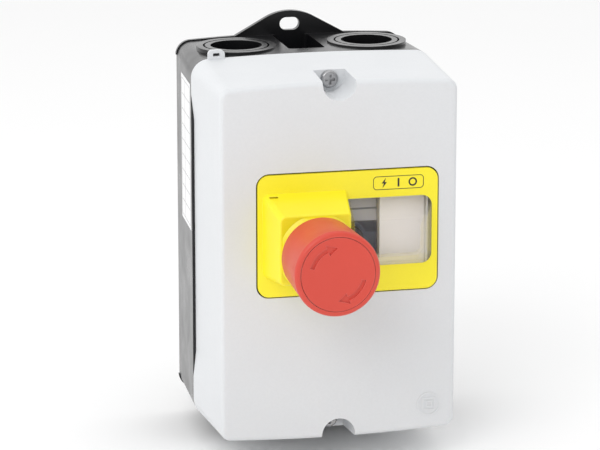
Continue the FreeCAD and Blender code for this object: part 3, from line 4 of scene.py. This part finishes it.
import bmesh
import bpy
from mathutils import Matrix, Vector


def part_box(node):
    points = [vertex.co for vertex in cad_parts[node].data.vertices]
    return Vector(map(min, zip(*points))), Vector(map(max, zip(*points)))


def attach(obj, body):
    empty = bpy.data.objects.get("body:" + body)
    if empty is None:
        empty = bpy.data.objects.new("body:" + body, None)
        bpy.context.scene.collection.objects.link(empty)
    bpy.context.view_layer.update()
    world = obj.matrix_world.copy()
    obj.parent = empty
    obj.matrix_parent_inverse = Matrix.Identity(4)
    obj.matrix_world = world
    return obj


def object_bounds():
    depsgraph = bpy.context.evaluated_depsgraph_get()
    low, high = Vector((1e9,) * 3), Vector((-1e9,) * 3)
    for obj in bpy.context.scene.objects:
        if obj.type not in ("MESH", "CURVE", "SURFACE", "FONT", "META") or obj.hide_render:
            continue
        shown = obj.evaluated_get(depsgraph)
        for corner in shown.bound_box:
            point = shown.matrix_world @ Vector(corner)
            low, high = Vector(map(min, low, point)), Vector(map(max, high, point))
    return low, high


# Looks of the wall-mounted motor starter.  Metres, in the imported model's own frame:
# X to the right, +Y into the wall, Z up.

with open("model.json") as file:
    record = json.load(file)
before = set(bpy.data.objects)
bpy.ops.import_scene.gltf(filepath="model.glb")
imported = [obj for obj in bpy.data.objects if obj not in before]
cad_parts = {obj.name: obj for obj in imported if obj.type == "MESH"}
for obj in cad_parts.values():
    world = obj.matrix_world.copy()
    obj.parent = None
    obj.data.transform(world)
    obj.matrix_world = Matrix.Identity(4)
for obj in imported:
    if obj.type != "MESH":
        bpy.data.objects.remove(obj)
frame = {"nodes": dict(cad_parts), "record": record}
cad_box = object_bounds()

MM = 0.001
PRINT = 0.04 * MM            # how far printed marks stand proud
PANEL = 0.15 * MM            # thickness of the sheets on the breaker's nose; the grey ones carry a painted reflection
PLATE_THICKNESS = 2.5 * MM   # operator plate, from its seal to its face
LABEL_SHEET = 0.15 * MM
BUTTON_MARGIN = 0.6 * MM     # clear of the buttons' heads
ARC_STEPS = 8


# ------------------------------------------------------------------ material building blocks
class Shader:
    """A node material built step by step around one Principled shader."""

    def __init__(self, name):
        self.material = bpy.data.materials.new(name)
        self.material.use_nodes = True
        self.nodes = self.material.node_tree.nodes
        self.links = self.material.node_tree.links
        self.nodes.clear()
        self.output = self.nodes.new("ShaderNodeOutputMaterial")
        self.body = self.nodes.new("ShaderNodeBsdfPrincipled")
        self.links.new(self.body.outputs[0], self.output.inputs["Surface"])
        self.place = self.nodes.new("ShaderNodeTexCoord").outputs["Object"]

    def noise(self, scale, detail=3.0, stretch=None):
        texture = self.nodes.new("ShaderNodeTexNoise")
        texture.inputs["Scale"].default_value = scale
        texture.inputs["Detail"].default_value = detail
        place = self.place
        if stretch is not None:
            mapping = self.nodes.new("ShaderNodeMapping")
            mapping.inputs["Scale"].default_value = stretch
            self.links.new(place, mapping.inputs["Vector"])
            place = mapping.outputs["Vector"]
        self.links.new(place, texture.inputs["Vector"])
        return texture.outputs["Fac"]

    def remap(self, value, low, high, to_low, to_high):
        ramp = self.nodes.new("ShaderNodeMapRange")
        ramp.inputs["From Min"].default_value = low
        ramp.inputs["From Max"].default_value = high
        ramp.inputs["To Min"].default_value = to_low
        ramp.inputs["To Max"].default_value = to_high
        self.links.new(value, ramp.inputs["Value"])
        return ramp.outputs["Result"]

    def combine(self, operation, a, b):
        node = self.nodes.new("ShaderNodeMath")
        node.operation = operation
        for socket, value in zip(node.inputs, (a, b)):
            if isinstance(value, (int, float)):
                socket.default_value = value
            else:
                self.links.new(value, socket)
        return node.outputs[0]

    def mix(self, share, a, b):
        node = self.nodes.new("ShaderNodeMix")
        node.data_type = "RGBA"
        sockets = [s for s in node.inputs if s.type == "RGBA"]
        factor = [s for s in node.inputs if s.name == "Factor" and s.type == "VALUE"][0]
        self.links.new(share, factor)
        for socket, value in zip(sockets, (a, b)):
            if isinstance(value, tuple):
                socket.default_value = (*value, 1.0)
            else:
                self.links.new(value, socket)
        return [s for s in node.outputs if s.type == "RGBA"][0]

    def edges(self, radius, low=0.02, high=0.25):
        """0 on flat stretches, rising to 1 on corners sharper than the radius."""
        bevel = self.nodes.new("ShaderNodeBevel")
        bevel.samples = 4
        bevel.inputs["Radius"].default_value = radius
        geometry = self.nodes.new("ShaderNodeNewGeometry")
        dot = self.nodes.new("ShaderNodeVectorMath")
        dot.operation = "DOT_PRODUCT"
        self.links.new(bevel.outputs["Normal"], dot.inputs[0])
        self.links.new(geometry.outputs["Normal"], dot.inputs[1])
        bend = self.combine("SUBTRACT", 1.0, dot.outputs["Value"])
        return self.remap(bend, low, high, 0.0, 1.0)

    def relief(self, height, strength, distance):
        bump = self.nodes.new("ShaderNodeBump")
        bump.inputs["Strength"].default_value = strength
        bump.inputs["Distance"].default_value = distance
        self.links.new(height, bump.inputs["Height"])
        self.links.new(bump.outputs["Normal"], self.body.inputs["Normal"])
        return bump


def scaled(colour, factor):
    return tuple(min(1.0, max(0.0, c * factor)) for c in colour)


def moulded(name, colour, rough=0.45, grain=2600.0, depth=0.00003, wear=0.25, gloss=0.5, drift=0.07,
            sheen=0.0):
    """Moulded plastic: slow colour drift, fine spark-eroded grain, paler rubbed corners."""
    s = Shader(name)
    slow = s.noise(14.0, 4.0)
    speck = s.noise(900.0, 2.0)
    tone = s.mix(s.remap(slow, 0.35, 0.65, 0.0, 1.0), scaled(colour, 1 - drift), scaled(colour, 1 + drift))
    fleck = s.mix(s.remap(speck, 0.3, 0.7, 0.0, 0.35), tone, scaled(colour, 0.94))
    rubbed = s.combine("MULTIPLY", s.edges(0.0006), s.remap(s.noise(120.0, 4.0), 0.4, 0.7, 0.1, wear))
    pale = tuple(c + (1 - c) * 0.35 for c in colour)
    s.links.new(s.mix(rubbed, fleck, pale), s.body.inputs["Base Color"])
    cloudy = s.remap(s.noise(60.0, 5.0), 0.3, 0.7, rough - 0.06, rough + 0.07)
    s.links.new(cloudy, s.body.inputs["Roughness"])
    s.body.inputs["Specular IOR Level"].default_value = gloss
    s.body.inputs["Coat Weight"].default_value = sheen
    s.body.inputs["Coat Roughness"].default_value = rough * 0.6
    s.relief(s.noise(grain, 2.0), 0.5, depth)
    return s.material


def metal(name, colour, rough=0.3, stretch=(1, 1, 1), grain=1500.0, tarnish=0.25):
    """Worked metal: drawn grain, dull patches and brighter corners."""
    s = Shader(name)
    s.body.inputs["Metallic"].default_value = 1.0
    patches = s.remap(s.noise(180.0, 5.0), 0.35, 0.7, 0.0, 1.0)
    dull = s.mix(s.combine("MULTIPLY", patches, tarnish), colour, scaled(colour, 0.55))
    bright = s.mix(s.combine("MULTIPLY", s.edges(0.0003), 0.6), dull, scaled(colour, 1.25))
    s.links.new(bright, s.body.inputs["Base Color"])
    lines = s.noise(grain, 3.0, stretch)
    s.links.new(s.remap(lines, 0.3, 0.7, rough - 0.08, rough + 0.14), s.body.inputs["Roughness"])
    s.relief(lines, 0.35, 0.00002)
    return s.material


def winding_wire(name, colour):
    """Enamelled wire laid turn on turn."""
    s = Shader(name)
    s.body.inputs["Metallic"].default_value = 0.8
    wave = s.nodes.new("ShaderNodeTexWave")
    wave.bands_direction = "Y"
    wave.inputs["Scale"].default_value = 700.0
    wave.inputs["Distortion"].default_value = 0.6
    s.links.new(s.place, wave.inputs["Vector"])
    s.links.new(s.mix(wave.outputs["Fac"], scaled(colour, 0.4), colour), s.body.inputs["Base Color"])
    s.links.new(s.remap(s.noise(300.0), 0.3, 0.7, 0.25, 0.4), s.body.inputs["Roughness"])
    s.relief(wave.outputs["Fac"], 0.8, 0.0001)
    return s.material


def stacked_sheet(name, colour):
    """Core of thin steel sheets, their edges running along the depth."""
    s = Shader(name)
    s.body.inputs["Metallic"].default_value = 1.0
    wave = s.nodes.new("ShaderNodeTexWave")
    wave.bands_direction = "Z"
    wave.inputs["Scale"].default_value = 620.0
    wave.inputs["Distortion"].default_value = 0.3
    s.links.new(s.place, wave.inputs["Vector"])
    rust = s.remap(s.noise(150.0, 5.0), 0.5, 0.75, 0.0, 0.4)
    sheets = s.mix(wave.outputs["Fac"], scaled(colour, 0.55), scaled(colour, 1.2))
    s.links.new(s.mix(rust, sheets, (0.16, 0.10, 0.07)), s.body.inputs["Base Color"])
    s.links.new(s.remap(s.noise(260.0), 0.3, 0.7, 0.35, 0.5), s.body.inputs["Roughness"])
    s.relief(wave.outputs["Fac"], 0.4, 0.00005)
    return s.material


def clear_moulding(name, colour):
    """Thin clear plastic: mostly see-through, hazed by fine scratches, glossy at a slant."""
    s = Shader(name)
    s.body.inputs["Base Color"].default_value = (*colour, 1.0)
    s.body.inputs["IOR"].default_value = 1.49
    scratches = s.noise(420.0, 4.0, (1.0, 1.0, 0.12))
    s.links.new(s.remap(scratches, 0.3, 0.7, 0.04, 0.14), s.body.inputs["Roughness"])
    s.relief(s.noise(90.0, 2.0), 0.15, 0.00008)
    seen_through = s.nodes.new("ShaderNodeBsdfTransparent")
    seen_through.inputs["Color"].default_value = (0.97, 0.97, 0.975, 1.0)
    slant = s.nodes.new("ShaderNodeLayerWeight")
    slant.inputs["Blend"].default_value = 0.5
    haze = s.remap(s.noise(40.0, 3.0), 0.3, 0.7, 0.01, 0.03)
    glare = s.combine("ADD", haze, s.combine("POWER", slant.outputs["Facing"], 4.5))
    rim = s.combine("ADD", glare, s.combine("MULTIPLY", s.edges(0.0008, 0.05, 0.35), 0.25))
    mixer = s.nodes.new("ShaderNodeMixShader")
    s.links.new(rim, mixer.inputs[0])
    s.links.new(seen_through.outputs[0], mixer.inputs[1])
    s.links.new(s.body.outputs[0], mixer.inputs[2])
    s.links.new(mixer.outputs[0], s.output.inputs["Surface"])
    return s.material


BRUSHED = (0.15, 1.0, 1.0)
MATERIALS = {
    "black_case": lambda n: moulded(
        n, (0.006, 0.006, 0.007), rough=0.32, grain=1800.0, depth=0.00004, wear=0.05, gloss=0.2,
        drift=0.07, sheen=0.45),
    "light_case": lambda n: moulded(
        n, (0.71, 0.725, 0.742), rough=0.46, grain=2200.0, depth=0.00003, wear=0.3, gloss=0.4, drift=0.012),
    "yellow_plate": lambda n: moulded(
        n, (0.96, 0.84, 0.02), rough=0.34, grain=2600.0, depth=0.00002, wear=0.3, gloss=0.5, drift=0.02),
    "clear_lens": lambda n: clear_moulding(n, (0.84, 0.78, 0.68)),
    "red_head": lambda n: moulded(
        n, (0.66, 0.062, 0.038), rough=0.40, grain=2400.0, depth=0.00003, wear=0.35, gloss=0.5, drift=0.04),
    "label": lambda n: moulded(
        n, (0.90, 0.90, 0.90), rough=0.35, grain=3000.0, depth=0.00001, wear=0.1, gloss=0.5, drift=0.02),
    "rubber_seal": lambda n: moulded(
        n, (0.018, 0.018, 0.019), rough=0.75, grain=1600.0, depth=0.00005, wear=0.1, gloss=0.3),
    "zinc_steel": lambda n: metal(n, (0.70, 0.70, 0.68), rough=0.30, stretch=BRUSHED),
    "spring_steel": lambda n: metal(n, (0.50, 0.50, 0.52), rough=0.28),
    "core_steel": lambda n: stacked_sheet(n, (0.36, 0.36, 0.37)),
    "brass": lambda n: metal(n, (0.80, 0.58, 0.24), rough=0.26, stretch=BRUSHED),
    "copper": lambda n: metal(
        n, (0.86, 0.42, 0.24), rough=0.28, stretch=BRUSHED, grain=1500.0, tarnish=0.45),
    "coil_copper": lambda n: winding_wire(n, (0.66, 0.24, 0.09)),
    "device_dark": lambda n: moulded(
        n, (0.070, 0.088, 0.125), rough=0.5, grain=2000.0, depth=0.00003, wear=0.2),
    "device_grey": lambda n: moulded(
        n, (0.085, 0.10, 0.125), rough=0.48, grain=2000.0, depth=0.00003, wear=0.25),
    "device_light": lambda n: moulded(
        n, (0.88, 0.85, 0.81), rough=0.5, grain=2200.0, depth=0.00003, wear=0.3, gloss=0.5, drift=0.03),
    "carrier_plastic": lambda n: moulded(
        n, (0.10, 0.085, 0.07), rough=0.55, grain=1800.0, depth=0.00003, wear=0.2),
    "button_black": lambda n: moulded(
        n, (0.016, 0.016, 0.016), rough=0.3, grain=2600.0, depth=0.00002, wear=0.3),
    "button_red": lambda n: moulded(
        n, (0.62, 0.03, 0.022), rough=0.32, grain=2600.0, depth=0.00002, wear=0.3),
    "dial_grey": lambda n: moulded(
        n, (0.72, 0.72, 0.69), rough=0.42, grain=2400.0, depth=0.00002, wear=0.3),
    # not slots: two dress the breaker's nose, the grey one with a painted reflection of the lens's top
    # slope, the last the cover's screws
    "step_grey_and_painted_reflection": lambda n: moulded(
        n, (0.42, 0.42, 0.46), rough=0.45, grain=2400.0, depth=0.00002, wear=0.2),
    "panel_dark": lambda n: moulded(
        n, (0.018, 0.026, 0.046), rough=0.45, grain=2400.0, depth=0.00002, wear=0.2),
    "screw_steel": lambda n: metal(
        n, (0.42, 0.42, 0.43), rough=0.32, stretch=BRUSHED, grain=1500.0, tarnish=0.5),
}
NODE_LOOKS = {"cover_screws": "screw_steel"}     # nodes that don't look like their slot


def dress_nodes():
    """Gives every CAD node the node material of its slot, or its own where it has one."""
    made = {}
    for part in frame["record"]["subparts"]:
        look = NODE_LOOKS.get(part["node"], part["material_slot"])
        if look not in made:
            made[look] = MATERIALS[look](look)
        node = frame["nodes"][part["node"]]
        node.data.materials.clear()
        node.data.materials.append(made[look])


# ------------------------------------------------------------------ pieces
def finished(name, mesh_edit, material, body):
    """A mesh object from a bmesh, dressed and riding on a body."""
    mesh = bpy.data.meshes.new(name)
    mesh_edit.normal_update()
    mesh_edit.to_mesh(mesh)
    mesh_edit.free()
    piece = bpy.data.objects.new(name, mesh)
    bpy.context.scene.collection.objects.link(piece)
    mesh.materials.append(material)
    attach(piece, body)
    return piece


def plate_face(points, depth, thickness):
    """A closed sheet of any outline given as x, z, lying at a depth and as thick as asked."""
    edit = bmesh.new()
    front = [edit.verts.new((x, -depth - thickness, z)) for x, z in points]
    back = [edit.verts.new((x, -depth, z)) for x, z in points]
    edit.faces.new(front)
    edit.faces.new(back[::-1])
    count = len(points)
    for i in range(count):
        j = (i + 1) % count
        edit.faces.new((front[j], front[i], back[i], back[j]))
    bmesh.ops.recalc_face_normals(edit, faces=edit.faces)
    return edit


def ring_face(outer, inner, depth, thickness):
    """A closed flat ring between two outlines with the same number of points."""
    edit = bmesh.new()
    count = len(outer)
    loops = []
    for points in (outer, inner):
        for d in (depth + thickness, depth):
            loops.append([edit.verts.new((x, -d, z)) for x, z in points])
    of, ob, nf, nb = loops
    for i in range(count):
        j = (i + 1) % count
        edit.faces.new((of[i], of[j], nf[j], nf[i]))
        edit.faces.new((ob[j], ob[i], nb[i], nb[j]))
        edit.faces.new((of[j], of[i], ob[i], ob[j]))
        edit.faces.new((nf[i], nf[j], nb[j], nb[i]))
    bmesh.ops.recalc_face_normals(edit, faces=edit.faces)
    return edit


def rounded_outline(cx, cz, half_w, half_h, radius, steps=6):
    points = []
    for sx, sz, start in ((1, 1, 0), (-1, 1, 90), (-1, -1, 180), (1, -1, 270)):
        for k in range(steps + 1):
            angle = math.radians(start + 90 * k / steps)
            x = cx + sx * (half_w - radius) + radius * math.cos(angle)
            z = cz + sz * (half_h - radius) + radius * math.sin(angle)
            points.append((x, z))
    return points


def centre(node):
    """A node's middle as x, z."""
    low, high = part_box(node)
    return (low.x + high.x) / 2, (low.z + high.z) / 2


def joined(edits):
    """One bmesh from several."""
    whole = bmesh.new()
    for edit in edits:
        mesh = bpy.data.meshes.new("part")
        edit.to_mesh(mesh)
        edit.free()
        whole.from_mesh(mesh)
        bpy.data.meshes.remove(mesh)
    return whole


def plate_emblem():
    """Generic printed sign on the yellow plate: a bolt, a bar and a ring in a thin frame."""
    lens_low, lens_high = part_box("window_lens")
    seal_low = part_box("operator_plate_seal")[0]
    face = -seal_low.y + PLATE_THICKNESS
    cx = (lens_low.x + lens_high.x) / 2 + 4.5 * MM
    cz = lens_high.z + 5.2 * MM
    half_w = 12.4 * MM
    half_h = 3.3 * MM
    line = 0.32 * MM
    frame_ring = ring_face(
        rounded_outline(cx, cz, half_w, half_h, 1.8 * MM),
        rounded_outline(cx, cz, half_w - line, half_h - line, 1.5 * MM), face, PRINT)
    bolt_shape = ((0.9, 2.5), (-1.3, -0.2), (-0.2, -0.2), (-0.9, -2.5), (1.3, 0.4), (0.2, 0.4))
    bolt = plate_face([(cx - 7.0 * MM + x * MM, cz + z * MM) for x, z in bolt_shape], face, PRINT)
    bar = plate_face(rounded_outline(cx, cz, 0.45 * MM, 2.1 * MM, 0.3 * MM), face, PRINT)
    ring = ring_face(
        rounded_outline(cx + 7.0 * MM, cz, 2.1 * MM, 2.1 * MM, 2.09 * MM),
        rounded_outline(cx + 7.0 * MM, cz, 1.35 * MM, 1.35 * MM, 1.34 * MM), face, PRINT)
    finished("plate_emblem", joined([frame_ring, bolt, bar, ring]), ink("emblem_ink", (0.02, 0.02, 0.02)),
             "cover")


def ink(name, colour):
    """Thin printed ink."""
    return moulded(name, colour, rough=0.5, grain=3000.0, depth=0.00001, wear=0.05, gloss=0.4, drift=0.1)


def label_table():
    """Empty ruled table printed on the side label, following the side's taper."""
    low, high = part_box("rating_label")
    front_x = low.x
    rear_x = high.x - LABEL_SHEET
    margin = 2.0 * MM
    line = 0.25 * MM
    edits = []

    def strip(y0, y1, z0, z1):
        edit = bmesh.new()
        corners = []
        for y, z in ((y0, z0), (y1, z0), (y1, z1), (y0, z1)):
            share = (y - low.y) / (high.y - low.y)
            x = front_x + (rear_x - front_x) * share
            corners.append((edit.verts.new((x - PRINT, y, z)), edit.verts.new((x + PRINT, y, z))))
        edit.faces.new([c[0] for c in corners])
        edit.faces.new([c[1] for c in corners][::-1])
        for i in range(4):
            j = (i + 1) % 4
            edit.faces.new((corners[i][0], corners[j][0], corners[j][1], corners[i][1]))
        bmesh.ops.recalc_face_normals(edit, faces=edit.faces)
        edits.append(edit)

    y0 = low.y + margin
    y1 = high.y - margin
    z0 = low.z + margin
    z1 = high.z - margin
    rows = 9
    for k in range(rows + 1):
        z = z0 + (z1 - z0) * k / rows
        strip(y0, y1, z - line / 2, z + line / 2)
    for share in (0.0, 0.62, 1.0):
        y = y0 + (y1 - y0) * share
        strip(y - line / 2, y + line / 2, z0, z1)
    finished("label_table", joined(edits), ink("label_ink", (0.30, 0.30, 0.31)), "base")


def dial_scale():
    """Radial ticks printed round the current-setting dial."""
    nose_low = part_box("breaker_front")[0]
    cx, cz = centre("breaker_trip_dial")
    start = 5.0 * MM
    short = 5.9 * MM
    long = 6.3 * MM
    half_width = 0.14 * MM
    edits = []
    for k in range(9):
        angle = math.radians(210 - 30 * k)
        along = Vector((math.cos(angle), math.sin(angle)))
        side = Vector((-along.y, along.x)) * half_width
        inner = along * start
        outer = along * (short if k % 2 else long)
        points = [(cx + v.x, cz + v.y) for v in (inner - side, outer - side, outer + side, inner + side)]
        if all(z > nose_low.z for x, z in points):
            edits.append(plate_face(points, -nose_low.y, PRINT))
    finished("dial_scale", joined(edits), ink("scale_ink", (0.80, 0.80, 0.78)), "base")


def button_marks():
    """Bar on the start button and ring on the stop button."""
    face = -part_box("breaker_start_button")[0].y
    cx, cz = centre("breaker_start_button")
    bar = plate_face(rounded_outline(cx, cz, 0.5 * MM, 2.4 * MM, 0.3 * MM), face, PRINT)
    white = ink("mark_ink", (0.82, 0.82, 0.80))
    finished("start_mark", bar, white, "start_button")
    face = -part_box("breaker_stop_button")[0].y
    cx, cz = centre("breaker_stop_button")
    ring = ring_face(
        rounded_outline(cx, cz, 2.4 * MM, 2.4 * MM, 2.39 * MM),
        rounded_outline(cx, cz, 1.5 * MM, 1.5 * MM, 1.49 * MM), face, PRINT)
    finished("stop_mark", ring, white, "stop_button")


def face_bands():
    """Bands across the breaker's nose: two grey sheets, the nose's steps with a painted reflection of the
    lens's lit top slope on them, and a dark strip under them.
    """
    node = frame["nodes"]["breaker_front"]
    face = -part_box("breaker_front")[0].y
    nose = [node.matrix_world @ v.co for v in node.data.vertices]
    nose = [point for point in nose if -point.y > face - PRINT]
    x0 = min(point.x for point in nose)
    x1 = max(point.x for point in nose)
    top = max(point.z for point in nose) - 0.5 * MM
    band = 5.6 * MM
    gap_low = top - 9.3 * MM
    gap_high = gap_low + 1.0 * MM
    strip_top = gap_low - band
    strip_low = strip_top - band
    # grey sheets: the nose's steps, and also a painted reflection of the lens's lit top slope
    panels = [plate_face([(x0, z0), (x1, z0), (x1, z1), (x0, z1)], face, PANEL)
              for z0, z1 in ((strip_top, gap_low), (gap_high, top))]
    finished("step_bands_and_painted_reflection", joined(panels), MATERIALS["step_grey_and_painted_reflection"]("step_grey_and_painted_reflection"), "base")

    outline = [(x0, strip_low)]
    for button in ("breaker_stop_button", "breaker_start_button"):
        button_low, button_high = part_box(button)
        cx, cz = centre(button)
        radius = (button_high.z - button_low.z) / 2 + BUTTON_MARGIN
        reach = math.acos((strip_low - cz) / radius) if abs(strip_low - cz) < radius else 0.0
        for k in range(2 * ARC_STEPS + 1):
            angle = reach * (1 - k / ARC_STEPS)
            outline.append((cx - radius * math.sin(angle), cz + radius * math.cos(angle)))
    outline += [(x1, strip_low), (x1, strip_top), (x0, strip_top)]
    strip = plate_face(outline, face, PANEL)
    finished("dark_band", strip, MATERIALS["panel_dark"]("panel_dark"), "base")


# ------------------------------------------------------------------ stage, light and camera
def stage_floor(level):
    edit = bmesh.new()
    bmesh.ops.create_grid(edit, x_segments=8, y_segments=8, size=12.0)
    mesh = bpy.data.meshes.new("studio_floor")
    edit.to_mesh(mesh)
    edit.free()
    floor = bpy.data.objects.new("studio_floor", mesh)
    bpy.context.scene.collection.objects.link(floor)
    floor.location.z = level
    s = Shader("studio_floor")
    tone = s.mix(s.noise(3.0), (0.94, 0.94, 0.94), (0.96, 0.96, 0.96))
    s.links.new(tone, s.body.inputs["Base Color"])
    s.body.inputs["Roughness"].default_value = 0.9
    s.body.inputs["Specular IOR Level"].default_value = 0.1
    mesh.materials.append(s.material)


def area_light(name, place, aim, size, power):
    data = bpy.data.lights.new(name, "AREA")
    data.shape = "RECTANGLE"
    data.size, data.size_y = size
    data.energy = power
    light = bpy.data.objects.new(name, data)
    bpy.context.scene.collection.objects.link(light)
    light.location = place
    light.rotation_euler = (Vector(aim) - Vector(place)).to_track_quat("-Z", "Y").to_euler()


ROOM_LIGHT = 0.62          # from in front of the box
BACKDROP_LIGHT = 1.18      # from behind it
LIGHTS = (                 # name, place, width and height, power
    ("key", (-1.1, -1.5, 1.3), (1.2, 1.2), 14),
    ("top", (0.1, -0.2, 1.6), (1.5, 1.0), 3),
    ("left", (-1.6, -0.3, 0.2), (0.9, 1.2), 2),
)


def studio_light():
    world = bpy.data.worlds.new("studio")
    bpy.context.scene.world = world
    world.use_nodes = True
    nodes = world.node_tree.nodes
    links = world.node_tree.links
    background = nodes["Background"]
    background.inputs["Color"].default_value = (1.0, 1.0, 1.0, 1.0)
    split = nodes.new("ShaderNodeSeparateXYZ")
    links.new(nodes.new("ShaderNodeTexCoord").outputs["Generated"], split.inputs[0])
    backdrop = nodes.new("ShaderNodeMapRange")
    backdrop.inputs["From Min"].default_value = -1.0
    backdrop.inputs["From Max"].default_value = 1.0
    backdrop.inputs["To Min"].default_value = ROOM_LIGHT
    backdrop.inputs["To Max"].default_value = BACKDROP_LIGHT
    links.new(split.outputs["Y"], backdrop.inputs["Value"])
    links.new(backdrop.outputs["Result"], background.inputs["Strength"])
    for name, place, size, power in LIGHTS:
        area_light(name, place, (0, -0.05, 0), size, power)


CAMERA_TARGET = Vector((-4.407, -45.0, 2.818)) * MM
CAMERA_DISTANCE = 1563.25 * MM
CAMERA_YAW = math.radians(13.193)
CAMERA_PITCH = math.radians(14.075)
LENS_MM = 189.96
SENSOR_MM = 36.0


def studio_camera():
    data = bpy.data.cameras.new("camera")
    data.lens = LENS_MM
    data.sensor_width = SENSOR_MM
    data.clip_end = 100.0
    camera = bpy.data.objects.new("camera", data)
    bpy.context.scene.collection.objects.link(camera)
    level = math.cos(CAMERA_PITCH)
    look = Vector((math.sin(CAMERA_YAW) * level, math.cos(CAMERA_YAW) * level, -math.sin(CAMERA_PITCH)))
    camera.location = CAMERA_TARGET - look * CAMERA_DISTANCE
    camera.rotation_euler = look.to_track_quat("-Z", "Y").to_euler()
    bpy.context.scene.camera = camera


dress_nodes()
plate_emblem()
label_table()
dial_scale()
button_marks()
face_bands()
stage_floor(cad_box[0][2])
studio_light()
studio_camera()
bpy.context.scene.view_settings.view_transform = "Standard"
